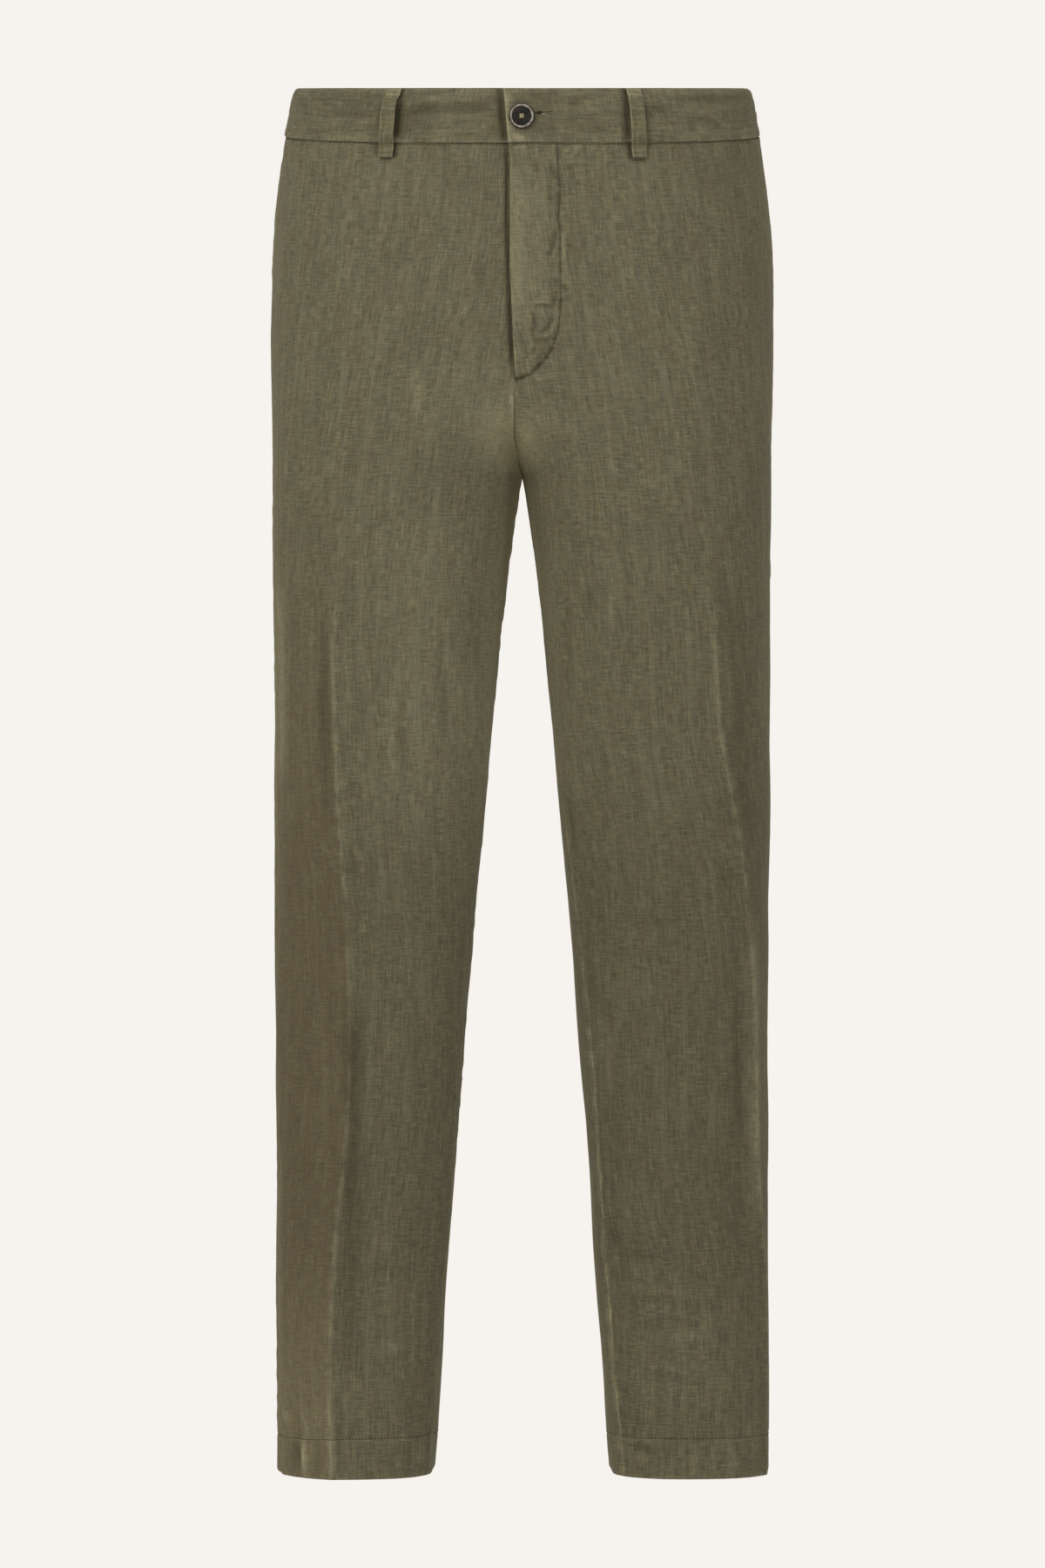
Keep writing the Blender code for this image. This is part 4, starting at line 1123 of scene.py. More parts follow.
# %% Linen material
def linen_material(name, dark, light, worn_and_lit_pale):
    """Plain-woven linen with uneven threads, from its darkest and lightest colours and the pale one of
    wear and painted light.
    """
    material, tree = new_material(name)
    cut = add_node(tree, "ShaderNodeUVMap", uv_map="cut").outputs[0]
    weave, slubs = weave_and_slubs(tree, cut)
    grain = add_node(tree, "ShaderNodeMath", {
        0: threads(tree, cut, 6, 8, 23.9, 4.0), 1: GRAIN_SHARE}, operation='MULTIPLY').outputs[0]
    tone = add_node(tree, "ShaderNodeMath", {
        0: weave, 1: WEAVE_SHARE, 2: grain}, operation='MULTIPLY_ADD').outputs[0]
    tone = add_node(tree, "ShaderNodeMath", {
        0: slubs, 1: SLUB_SHARE, 2: tone}, operation='MULTIPLY_ADD').outputs[0]
    share = add_node(tree, "ShaderNodeMapRange", {"Value": tone, "From Min": 0.455, "From Max": 0.76})
    colour = add_node(tree, "ShaderNodeMix", {0: share.outputs[0], 6: dark, 7: light}, data_type='RGBA')

    # flecks of other hues: width, length, seed, the hue, and the most that it covers
    for width, length, seed, hue, most in (
            (4, 8, 31.3, LINEN_GREY, 0.36),
            (3.6, 6, 43.7, LINEN_YELLOW, 0.28),
            (4.6, 9, 57.1, LINEN_BROWN, 0.28),
            (13, 32, 93.7, LINEN_GREY, 0.18),
            (15, 40, 97.9, LINEN_BROWN, 0.16),
            (5.5, 70, 61.3, dark, 0.30),
            (6, 80, 71.9, light, 0.28),
            (16, 60, 83.3, dark, 0.16)):
        cover = add_node(tree, "ShaderNodeMapRange", {
            "Value": threads(tree, cut, width, length, seed, 3.0),
            "From Min": 0.48, "From Max": 0.72, "To Max": most})
        colour = add_node(tree, "ShaderNodeMix", {
            0: cover.outputs[0], 6: colour.outputs[2], 7: hue}, data_type='RGBA')

    # then what the mesh says of each place: painted warm light, wear and painted light on the top of
    # the threads, and painted shade
    warm_light_cover, wear_and_painted_light, painted_shade = [add_node(tree, "ShaderNodeAttribute", attribute_name=measure).outputs["Fac"]
                          for measure in ("tan", "wear_and_painted_light", "painted_shade")]
    pale_cover = add_node(tree, "ShaderNodeMath", {0: wear_and_painted_light, 1: weave}, operation='MULTIPLY').outputs[0]
    for cover, hue in ((warm_light_cover, LINEN_WARM_LIGHT), (pale_cover, worn_and_lit_pale), (painted_shade, LINEN_PAINTED_SHADE)):
        colour = add_node(tree, "ShaderNodeMix", {
            0: cover, 6: colour.outputs[2], 7: hue}, data_type='RGBA')

    relief = add_node(tree, "ShaderNodeMath", {0: slubs, 1: 0.8, 2: weave}, operation='MULTIPLY_ADD')
    bump = add_node(tree, "ShaderNodeBump", {
        "Height": relief.outputs[0], "Strength": 0.32, "Distance": 0.30 * MM})
    shader = add_node(tree, "ShaderNodeBsdfPrincipled", {
        "Base Color": colour.outputs[2],
        "Roughness": 0.88,
        "IOR": 1.50,
        "Specular IOR Level": 0.25,
        "Sheen Weight": 0.30,
        "Sheen Roughness": 0.45,
        "Sheen Tint": linear("D2C8A6"),
        "Normal": bump.outputs[0],
    })
    add_node(tree, "ShaderNodeOutputMaterial", {"Surface": shader.outputs[0]})
    return material


# %% The garment's three linens
LINEN_DARK = linear("54503E")
LINEN_GREY = linear("585D50")
LINEN_YELLOW = linear("746E42")
LINEN_BROWN = linear("6F5C45")
# painted warm light, beyond the wearer's right pressed crease where the leg turns away
LINEN_WARM_LIGHT = linear("6E5339")
# painted shade
LINEN_PAINTED_SHADE = linear("34311F")
# the third colour of each linen is the pale of wear and of painted light
linen = linen_material("linen_plain_woven_olive", LINEN_DARK, linear("817D62"), linear("A39C7C"))
band_linen = linen_material("linen_doubled_on_interlining", LINEN_DARK, linear("7F7B61"),
                            linear("ABA483"))
loop_linen = linen_material("linen_folded_for_loops", linear("504D38"), linear("817D61"),
                            linear("B0A989"))

# %% Where the cloth is paler or darker: wear, painted light and painted shade
# for each piece, rows of: path and half width as for a crease, and an amount above 0 where the cloth
# is paler, from wear and from painted light, or below 0 where it has painted shade
MARKS = {}
MARKS["front_left"] = [
    # the turned-up hem's folds: painted shade in a trough, and painted highlights on two ridges
    ([(95, 1036), (96, 1050), (95, 1066)], 2.6, -0.16),
    ([(131, 1036), (131, 1052), (130, 1066)], 2.4, 0.2),
    ([(160, 1036), (161, 1052), (160, 1064)], 2.4, 0.2),
    # painted shade beside and under the belt loop
    ([(80, 46), (81.5, 68)], 2.4, -0.9),
    ([(83, 66.6), (94, 66.6)], 1.4, -0.8),
    # the fly's edge and its facing
    ([(-4, 62), (-4, 130), (-3, 205)], 5.5, 0.24),
    ([(9, 70), (12, 140), (12, 205)], 9.0, 0.12),
    ([(-8, 57), (4, 57)], 2.4, 0.26),
    ([(31, 120), (31.6, 134), (31, 148)], 2.2, 0.12),
    # painted shade on the strip beyond the upper pressed crease, where the leg turns away, and the
    # lower pressed crease worn pale
    ([(158, 380), (162, 440), (166, 520), (172, 590)], 9.0, -0.20),
    ([(171, 610), (175, 700), (174, 800), (178, 910)], 5.0, 0.28),
    # beside the fly's top: a painted highlight on a fold, and painted shade below it
    ([(28, 66), (33, 59.5), (40, 56.4), (48, 55)], 1.2, 0.22),
    ([(29, 70), (35, 69.5)], 2.0, -0.2),
]
MARKS["front_right"] = [
    ([(-84, 208), (-81, 240), (-78, 272)], 1.8, 0.12),
    ([(-79, 222), (-77, 245), (-76, 262)], 1.6, 0.12),
    ([(-143, 985), (-146, 1010), (-143, 1034)], 2.4, 0.12),
    # painted light along the leg's outline, where the cloth turns away
    ([(-184, 366), (-185, 430), (-184, 500), (-186, 550)], 3.4, 0.34),
    ([(-186, 800), (-187, 880), (-186, 960)], 2.4, 0.20),
    # the turned-up hem's folds: painted highlights on two ridges, and painted shade in two troughs
    ([(-166, 1030), (-165.5, 1050), (-165, 1068)], 2.2, 0.34),
    ([(-146, 1026), (-145, 1045), (-144, 1066)], 2.2, 0.30),
    ([(-156, 1034), (-155, 1050), (-156, 1066)], 3.4, -0.22),
    ([(-176, 1036), (-176, 1066)], 2.4, -0.25),
    # painted shade under the edge of the fly
    ([(-12.6, 48), (-12, 75), (-12.2, 100), (-11.6, 130), (-10.4, 165), (-9.0, 200), (-7.4, 234)],
     1.6, -1.0),
    # painted shade beside and under the belt loop
    ([(-95, 46), (-96.5, 56), (-97, 66)], 2.4, -0.85),
    ([(-109, 48), (-109.5, 64)], 2.0, -0.6),
    ([(-108, 65.2), (-98, 65.8)], 1.4, -0.8),
    # painted light on the inner thigh, and painted shade in the hollow along the pressed crease
    ([(-60, 300), (-74, 400), (-80, 500), (-84, 610)], 30.0, 0.11),
    ([(-127, 690), (-127, 800), (-130, 880), (-131, 1000)], 7.0, -0.26),
]
MARKS["waistband_left"] = [
    # painted shade beside the belt loop
    ([(77, 8), (78, 28), (79.5, 52)], 2.6, -0.98),
    ([(92, 22), (93.5, 48)], 2.6, -0.3),
    # the tab's end and its lower corner
    ([(-12, 14), (-9, 50)], 2.6, 0.24),
    ([(-9, 49), (3, 51)], 2.6, 0.34),
]
MARKS["waistband_right"] = [
    # painted shade under the edge of the tab
    ([(-18, 8), (-16, 32), (-13.5, 56)], 2.6, -0.85),
    # painted shade beside the belt loop, and along the whole half
    ([(-90, 8), (-93.2, 30), (-95, 52)], 2.4, -0.95),
    ([(-107, 18), (-106.5, 30), (-108, 46)], 3.4, -0.3),
    ([(-60, 30), (-110, 28), (-180, 24)], 16.0, -0.12),
]
print("worn and deep marks:", sum(len(rows) for rows in MARKS.values()))

# %% Wear, painted light and painted shade of any piece
WEAR_AND_LIGHT_ON_RIDGES = 0.09  # for each millimetre that a fold stands up, it is paler: partly dye rubbed off, partly painted light
SHADE_IN_TROUGHS = 0.11  # for each millimetre that a fold lies deeper, painted shade darkens it


def marks_on(grid):
    """The marks of wear and painted light, and of painted shade, that are listed for a piece."""
    wear_and_painted_light = np.zeros_like(grid["x"])
    painted_shade = np.zeros_like(grid["x"])
    for path, half_width, amount in MARKS.get(grid["name"], []):
        if amount > 0:
            wear_and_painted_light += stroke(grid, path, half_width, amount, 0.25)
        else:
            painted_shade += stroke(grid, path, half_width, -amount, 0.12)
    return wear_and_painted_light, painted_shade


def as_tints(wear_and_painted_light, painted_shade, tan):
    """Colour measures of a piece, as its material reads them."""
    return {"wear_and_painted_light": np.clip(wear_and_painted_light, 0, 1), "painted_shade": np.clip(painted_shade, 0, 1), "tan": tan}


# %% Wear, painted light, painted shade and painted warm light of a panel
# stretches of the leg: the levels at which each starts, is full, eases off and ends
BELOW_FLY = (FLY_FOOT, 0.246, 0.27, 0.30)
FORK = (0.235, 0.285, 0.33, 0.46)
INNER_THIGH = (0.21, 0.30, 0.45, 0.66)
KNEE = (0.46, 0.62, 0.86, 0.99)
OUTER_LEG = (0.28, 0.50, 0.82, 0.95)


def worn_edges_and_highlight(grid):
    """Pale edges: the pressed crease, the long seams and the hem are worn pale, and the hem's stitches
    carry a painted highlight.
    """
    level = grid["level"]
    ragged = 0.6 + 0.7 * cloud(level, grid["from_crease"], 9 * MM, 14 * MM, 77)
    pressed = smoothstep(0.29, 0.50, level) * (1 - 0.6 * smoothstep(0.93, 1.02, level))
    pressed *= 1.2 if grid["side"] > 0 else 1.0
    pressed *= 0.33 if grid["name"].startswith("front") else 0.22
    wear_and_painted_light = bell(grid["from_crease"], 1.9) * pressed + 0.4 * fading(from_seams(grid), 1.4)
    # the hem's edge worn pale, and a painted highlight along the hem's stitches
    wear_and_painted_light += 0.35 * fading(WAIST_TO_HEM - level, 1.5) + 0.20 * bell(level - HEM_TOP, 1.2)
    if grid["side"] > 0:
        ridge = bell(grid["from_inner"] - INSEAM_RIDGE, 1.3) * smoothstep(*INSEAM_TURNS, level)
        wear_and_painted_light += (0.60 if grid["name"] == "front_left" else 0.2) * ridge
    return wear_and_painted_light * ragged


def painted_fill_light(grid):
    """Painted light below the fly, at the fork, along the inner thigh and down the side, where the
    cloth turns away from the lamps and the legs shade the fork.
    """
    level = grid["level"]
    inner = grid["from_inner"]
    front = grid["name"].startswith("front")
    wear_and_painted_light = 0.40 * bell(inner, 2.5) * between(level, *BELOW_FLY)
    wear_and_painted_light += (0.9 if front else 0.4) * bell(inner, 25) * between(level, *FORK)
    wear_and_painted_light += (0.46 if grid["side"] < 0 else 0.12) * bell(inner, 50) * between(level, *INNER_THIGH)
    wear_and_painted_light += (0.34 if front else 0.12) * bell(grid["from_outer"], 9) * (1 - smoothstep(0.45, 0.7, level))
    return wear_and_painted_light


def tints_of(grid):
    """Colour measures of a panel: wear and painted light, painted shade, and painted warm light."""
    level = grid["level"]
    knee = between(level, *KNEE)
    wear_and_painted_light, painted_shade = marks_on(grid)
    # ridges paler from wear and painted light, troughs darker with painted shade, and painted light
    # where the cloth turns away
    wear_and_painted_light += WEAR_AND_LIGHT_ON_RIDGES * np.clip(grid["fold"] / MM, 0, 3) + worn_edges_and_highlight(grid) + painted_fill_light(grid)
    painted_shade += SHADE_IN_TROUGHS * np.clip(-grid["fold"] / MM, 0, 4)
    # painted shade just under the waistband
    painted_shade += 0.6 * fading(np.maximum(level - BAND_HEIGHT_SIDE, 0), 0.9)
    # painted shade in the groove of the fly's stitching
    if grid["name"] == "front_left":
        painted_shade += 0.30 * bell(from_fly_stitching(grid)[0], 0.8) * (level < FLY_FOOT)
    if grid["side"] > 0:
        # painted shade over the knee, and a little from the crotch down
        painted_shade += 0.17 * knee + 0.04 * smoothstep(0.25, 0.40, level)
        return as_tints(wear_and_painted_light, painted_shade, np.zeros_like(wear_and_painted_light))
    # painted shade over the knee, away from the inseam; and beyond the wearer's right pressed crease,
    # where the leg turns away, painted shade and painted warm light, with the hem paler
    outer = smoothstep(-1 * MM, 1.5 * MM, grid["from_crease"])
    painted_shade += 0.12 * knee * smoothstep(0, 60 * MM, grid["from_inner"])
    painted_shade += 0.08 * between(level, *OUTER_LEG) * outer
    wear_and_painted_light += 0.12 * smoothstep(0.90, 1.02, level) * outer
    return as_tints(wear_and_painted_light, painted_shade, 0.26 * smoothstep(0.24, 0.62, level) * outer)


# %% A panel's two faces with all its relief
SEEDS = {"front_left": 100, "front_right": 200, "back_left": 300, "back_right": 400}
FINE = 2.5  # mm: a crease with a smaller half width is a fine one
# soft light flattens a crease, so its height is raised by this much
FINE_GAIN = 2.0
BROAD_GAIN = 1.6
TINTED = 4.5  # mm: a broader fold is soft, and is less tinted by wear, painted light and painted shade
UNDER_BAND = 0.5 * MM  # how far a panel sinks behind the waistband
FLY_TUCK = 2.2 * MM  # how far the right front sinks under the fly
HEM_CORNER = 4.5 * MM  # radius of the hem's corners, as seen from the front


def to_outline(grid):
    """How far each point of a leg lies inside the leg's outline, as seen from the front."""
    across = np.abs(grid["x"])
    inner = read_table(LEG_GAP, LEG_GAP_COLUMNS, "inner", grid["level"])
    return np.minimum(section_value("outer", grid["level"]) - across, across - inner)


def crease_relief(grid):
    """All listed creases of a panel, and the part of them that is too soft to be tinted by wear,
    painted light and painted shade.
    """
    fold = np.zeros_like(grid["x"])
    soft = np.zeros_like(grid["x"])
    for path, half_width, height in CREASES[grid["name"]]:
        fine = half_width < FINE
        gain = FINE_GAIN if fine else BROAD_GAIN
        crease = stroke(grid, path, half_width, gain * height * MM, 0.25 if fine else 0.5)
        fold += crease
        soft += crease * (1 - min(1, (TINTED / half_width) ** 2))
    return fold, soft


def finished_surface(grid):
    """The outer and inner faces of a panel with all its relief."""
    seed = SEEDS[grid["name"]]
    level = grid["level"]
    calm = away_from_seams(grid, 4)
    fold, soft = crease_relief(grid)
    fold = fold * calm + seam_relief(grid, seed + 50)
    if grid["name"] == "front_left":
        fold += fly_relief(grid) + inseam_relief(grid)
    grid["fold"] = fold - soft * calm
    relief = (rumple(grid, seed) + pressed_edge(grid)) * calm + fold
    under_band = smoothstep(0.0, 1.5 * MM, level - BAND_HEIGHT_SIDE)
    relief = relief * under_band - UNDER_BAND * (1 - under_band)
    if grid["name"] == "front_right":
        beside_fly = 1 - smoothstep(FLY_FADE_TOP - 0.03, FLY_FADE_TOP, level)
        relief -= FLY_TUCK * np.exp(-(grid["from_inner"] / (19 * MM)) ** 4) * beside_fly
    inset = edge_inset(grid)
    point = grid["point"].copy()
    point[:, :, 2] += rounding(to_outline(grid), HEM_CORNER) * smoothstep(
        WAIST_TO_HEM - 0.02, WAIST_TO_HEM, level)
    outer = point + grid["normal"] * (relief - inset)[:, :, None]
    inner = point + grid["normal"] * (relief - np.maximum(wall_of(grid) - inset, inset))[:, :, None]
    return outer, inner


# %% Make the four panels
SEAM_OVERLAP = 1.5 * MM


def run_on(grid, inner, columns, sewn):
    """Behind a seam the cloth runs on past the stitches, so that nothing shows through it.

    columns are the seam's column and one further in. sewn is 1 where there is a seam.
    """
    edge, second = columns
    onward = grid["point"][:, edge] - grid["point"][:, second]
    onward /= np.linalg.norm(onward, axis=1, keepdims=True)
    inner[:, edge] += onward * SEAM_OVERLAP * sewn


for name, grid in panels.items():
    grid["outer"], grid["inner"] = finished_surface(grid)
    sewn = 1.0
    if name.startswith("front"):
        sewn = smoothstep(FLY_FADE_BOTTOM, FLY_FADE_BOTTOM + 4 * MM, grid["level"][:, :1])
    run_on(grid, grid["inner"], (0, 3), sewn)
    run_on(grid, grid["inner"], (-1, -4), 1.0)
    uv = np.stack((grid["from_crease"] * grid["side"], -grid["level"]), -1)
    mesh = shell_mesh(name + "_linen", grid["outer"], grid["inner"], uv, tints_of(grid))
    add_piece(name + "_linen", mesh, linen)
    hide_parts(name)
    print(name, "triangles:", sum(len(p.vertices) - 2 for p in mesh.polygons))

# %% [markdown]
# ## Waistband
#
# The waistband is a doubled strip on interlining, folded along its upper edge. Its left end runs on as
# a tab that laps over the right one and carries the buttonhole. It is made as one curved shell for
# each half, with the same rounded edges as the panels. The interlining keeps it flatter than the cloth
# below, but its seam still gathers it into small upright puckers.

# %% Creases of the waistband
# rows as for the panels
CREASES["waistband_left"] = [
    ([(36, 20), (41, 25), (46, 20)], 3.4, -0.8),
    ([(30, 36), (46, 35), (62, 36)], 1.8, -0.5),
    ([(58, 29), (68, 31), (76, 29)], 2.0, -0.7),
    ([(50, 43), (62, 46), (74, 44)], 3.0, -0.5),
    ([(94, 26), (102, 28), (110, 27)], 2.0, -0.8),
    ([(112, 28), (132, 30), (156, 26)], 1.8, 0.5),
    ([(108, 34), (128, 36), (152, 33)], 2.4, -0.6),
    ([(120, 16), (140, 18), (158, 14)], 3.0, -0.4),
    ([(24, 44), (34, 46), (46, 42)], 2.6, 0.6),
]
CREASES["waistband_right"] = [
    ([(-103, 20), (-114, 18), (-126, 22), (-140, 20)], 4.0, -0.7),
    ([(-112, 30), (-128, 32), (-150, 28)], 3.4, -0.5),
    ([(-16, 25), (-34, 29), (-60, 29), (-90, 27)], 4.2, -0.9),
    ([(-30, 20), (-52, 21), (-74, 20)], 3.0, 0.4),
    ([(-44, 38), (-60, 38), (-78, 37)], 1.8, 0.5),
    ([(-40, 42), (-58, 43), (-80, 42)], 1.8, -0.4),
    ([(-36, 47), (-44, 50), (-52, 46)], 3.4, -0.5),
]


# %% The waistband's grid
BAND_COLUMN_STEP = 2.3 * MM
BAND_ROW_STEP = 1.9 * MM
BAND_EDGE = np.array((0.0, 0.3, 0.7, 1.2, 2.0)) * MM
BAND_LEVELS = np.concatenate((
    BAND_EDGE,
    np.arange(BAND_EDGE[-1], BAND_HEIGHT_SIDE - BAND_EDGE[-1], BAND_ROW_STEP)[1:],
    BAND_HEIGHT_SIDE - BAND_EDGE[::-1]))
half_waist = travel(np.vstack(half_section(0.0, 0.0, 0.0))).max()
BAND_COLUMNS = int(half_waist / BAND_COLUMN_STEP)


def band_start(side, level):
    """x of a half's front end: the tab's slanting end, or the upright end that runs under it."""
    share = level / BAND_HEIGHT_SIDE
    if side > 0:
        return TAB_END_TOP + (TAB_END_BOTTOM - TAB_END_TOP) * share
    return -UNDER_END


def band_row(side, level):
    """One level of a waistband half, from its front end to centre back."""
    front_run, back_run = half_section(level, band_start(side, level), SEAM_GAP / 2)
    run = np.vstack((front_run, back_run[1:]))
    distance = travel(run)
    middle = np.linspace(NEAR_EDGE[-1], distance[-1] - NEAR_EDGE[-1], BAND_COLUMNS)
    along = np.concatenate((NEAR_EDGE, middle[1:-1], distance[-1] - NEAR_EDGE[::-1]))
    x, y = resample(along, distance, run).T
    nx, ny = resample(along, distance, outward(run)).T
    lift = np.full_like(x, BAND_PROUD)
    if side > 0:
        lift += np.where(y < 0, TAB_LIFT * (1 - smoothstep(TAB_LIFT_FULL, TAB_LIFT_FROM, x)), 0.0)
    points = np.column_stack((side * (x + nx * lift), y + ny * lift, height_at(level, y)))
    return points, np.column_stack((side * nx, ny)), along, distance[-1]


def band_grid(side):
    """A half of the waistband: a dictionary of arrays with a row for each level."""
    rows = []
    for level in BAND_LEVELS:
        points, flat, along, whole = band_row(side, level)
        lower = band_row(side, level + NORMAL_STEP)[0]
        rows.append({
            "point": points,
            "normal": slope_normals(points, flat, points, lower),
            "level": np.full(len(points), level),
            "x": points[:, 0],
            "from_inner": along,
            "from_outer": whole - along,
            "from_crease": along - whole / 2,
        })
    return as_grid(rows, "waistband_left" if side > 0 else "waistband_right", side)


# %% The waistband's faces
BAND_ROUND = 1.05 * MM
BAND_CORNER = 2.6 * MM  # radius of the band's upper corners, as seen from the front
UNDER_TUCK = 1.3 * MM  # how far the end under the tab sinks
TOP_FOLD = 1.2 * MM  # how far the cloth draws in at the folded upper edge


def band_relief(grid, seed):
    """The waistband's waves, puckers and creases."""
    level = grid["level"]
    along = grid["from_crease"]
    fold = 0.5 * MM * cloud(along, level, 34 * MM, 12 * MM, seed)
    fold += 0.3 * MM * cloud(along, level, 13 * MM, 6 * MM, seed + 1)
    fold += puckers(along, BAND_HEIGHT_SIDE - level, 7, 8, 1.3, seed + 2)
    fold += 0.35 * MM * cloud(along, level, 30 * MM, 3.2 * MM, seed + 3)
    for path, half_width, height in CREASES[grid["name"]]:
        fold += stroke(grid, path, half_width, BROAD_GAIN * height * MM)
    return fold


def finish_band(grid, fold):
    """The rounded edges and both faces of a waistband half."""
    level = grid["level"]
    inset = rounding(np.minimum(level, BAND_HEIGHT_SIDE - level), BAND_ROUND)
    inset = np.maximum(inset, rounding(grid["from_inner"], BAND_ROUND))
    inset = np.maximum(inset, rounding(grid["from_outer"], SEAM_ROUND))
    relief = fold - TOP_FOLD * bell(level, 2.2)
    if grid["side"] < 0:
        relief -= UNDER_TUCK * np.exp(-(grid["from_inner"] / (7 * MM)) ** 4)
    normal = grid["normal"].copy()
    normal[[0, -1], :, 2] = 0.0
    normal /= np.linalg.norm(normal, axis=2, keepdims=True)
    point = grid["point"].copy()
    to_side = np.maximum(section_value("outer", level) + BAND_PROUD - np.abs(grid["x"]), 0)
    point[:, :, 2] -= rounding(to_side, BAND_CORNER) * (1 - smoothstep(0, 9 * MM, level))
    grid["outer"] = point + normal * (relief - inset)[:, :, None]
    grid["inner"] = point + normal * (relief - BAND_WALL + inset)[:, :, None]
    run_on(grid, grid["inner"], (-1, -4), 1.0)


def band_tints(grid, fold, seed):
    """Colour measures of a waistband half: worn at its edges, paler on its folds from wear and painted
    light, painted shade in its troughs, and its listed marks.
    """
    level = grid["level"]
    ragged = 0.6 + 0.6 * cloud(grid["from_crease"], level, 9 * MM, 20 * MM, seed + 7)
    wear_and_painted_light, painted_shade = marks_on(grid)
    wear_and_painted_light += WEAR_AND_LIGHT_ON_RIDGES * np.clip(fold / MM, 0, 3)
    painted_shade += 2 * SHADE_IN_TROUGHS * np.clip(-fold / MM, 0, 4)
    edges = 0.35 * fading(level, 1.3) + 0.16 * fading(BAND_HEIGHT_SIDE - level, 3.0)
    wear_and_painted_light += (edges + 0.6 * fading(grid["from_inner"], 1.4)) * ragged
    return as_tints(wear_and_painted_light, painted_shade, np.zeros_like(wear_and_painted_light))


# %% Make the waistband
bands = {}
for side in (-1, 1):
    grid = band_grid(side)
    seed = 600 + 50 * side
    fold = band_relief(grid, seed)
    finish_band(grid, fold)
    name = grid["name"]
    bands[name] = grid
    uv = np.stack((-grid["level"], grid["from_crease"] * side), -1)
    tints = band_tints(grid, fold, seed)
    mesh = shell_mesh(name + "_linen", grid["outer"], grid["inner"], uv, tints)
    add_piece(name + "_linen", mesh, band_linen)
    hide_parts(name)
    print(name, "grid:", grid["x"].shape, "triangles:", 2 * len(mesh.polygons))

# %% [markdown]
# ## Belt loops
#
# A belt loop is a narrow strip, folded in three and sewn down at both ends, with room for a belt behind
# it. A flat strip with square edges would look like card. So each loop is a tube of rounded oblong
# rings that follows the strip's path: thick where an end is folded under, pressed thin where a bar of
# stitches holds it, and standing off the waistband between. In the photograph neither front loop hangs
# quite straight, and the top of the wearer's right one is skewed.

# %% Where the loops lie
LOOP_LENGTH = 48.1 * MM
LOOP_WIDTH = 11.0 * MM
LOOP_THIN = 1.5 * MM
LOOP_FOLD = 2.5 * MM  # where an end is folded under
LOOP_STAND_OFF = 5.6 * MM
LOOP_GAP = 0.25 * MM  # between its sewn ends and the cloth under them
LOOP_BARS = (0.065, 0.93)  # shares of its length where a bar of stitches crosses it
BAR_DIP = 0.7 * MM  # how much thinner a bar's stitches press it
LOOP_STATIONS = 96
LOOP_RING = 20
LOOP_RISE = 0.22  # share of its length in which it rises, and comes down again

# name, side, face, then (share of the length, x in mm) places of its middle
LOOP_PATHS = [
    ("belt_loop_front_right", -1, "front",
     [(0, 95.2), (0.10, 97.0), (0.17, 99.2), (0.25, 99.0), (0.45, 99.8), (0.7, 100.9), (1, 102.9)]),
    ("belt_loop_front_left", 1, "front",
     [(0, 83.3), (0.05, 83.6), (0.12, 84.9), (0.4, 85.6), (0.7, 86.9), (1, 88.6)]),
    ("belt_loop_back_right", -1, "back", [(0, 112.0), (0.2, 112.9), (0.6, 112.7), (1, 114.0)]),
    ("belt_loop_back_left", 1, "back", [(0, 112.0), (0.15, 111.6), (0.5, 113.2), (1, 114.0)]),
    ("belt_loop_centre_back", 1, "back", [(0, 0.3), (0.3, -0.4), (0.7, 0.5), (1, 0.0)]),
]


# %% A place on the band or on the panel below it
def waist_place(side, face, x, level):
    """Place on the outer face at the waist, with its outward normal."""
    front_run, back_run = half_section(level, SEAM_GAP / 2, SEAM_GAP / 2)
    run = front_run if face == "front" else back_run
    normals = outward(run)
    order = np.argsort(run[:, 0])
    xs = run[order, 0]
    normal = np.array([np.interp(abs(x), xs, normals[order, k]) for k in (0, 1)])
    normal /= np.hypot(*normal)
    proud = BAND_PROUD * (1 - smoothstep(BAND_HEIGHT_SIDE, BAND_HEIGHT_SIDE + 2 * MM, level))
    flat = np.array((abs(x), np.interp(abs(x), xs, run[order, 1]))) + normal * proud
    sign = side * (1 if x >= 0 else -1)
    place = np.array((sign * flat[0], flat[1], height_at(level, flat[1])))
    return place, np.array((sign * normal[0], normal[1], 0.0))


# %% Belt loops: one ring of points
def loop_x(path, share):
    """x of a loop's middle at a share of its length."""
    return np.interp(share, [row[0] for row in path], [row[1] for row in path]) * MM


ring_angle = np.linspace(0, 2 * math.pi, LOOP_RING, endpoint=False)
OBLONG_X = np.sign(np.cos(ring_angle)) * np.abs(np.cos(ring_angle)) ** 0.35
OBLONG_Y = np.sign(np.sin(ring_angle)) * np.abs(np.sin(ring_angle)) ** 0.75


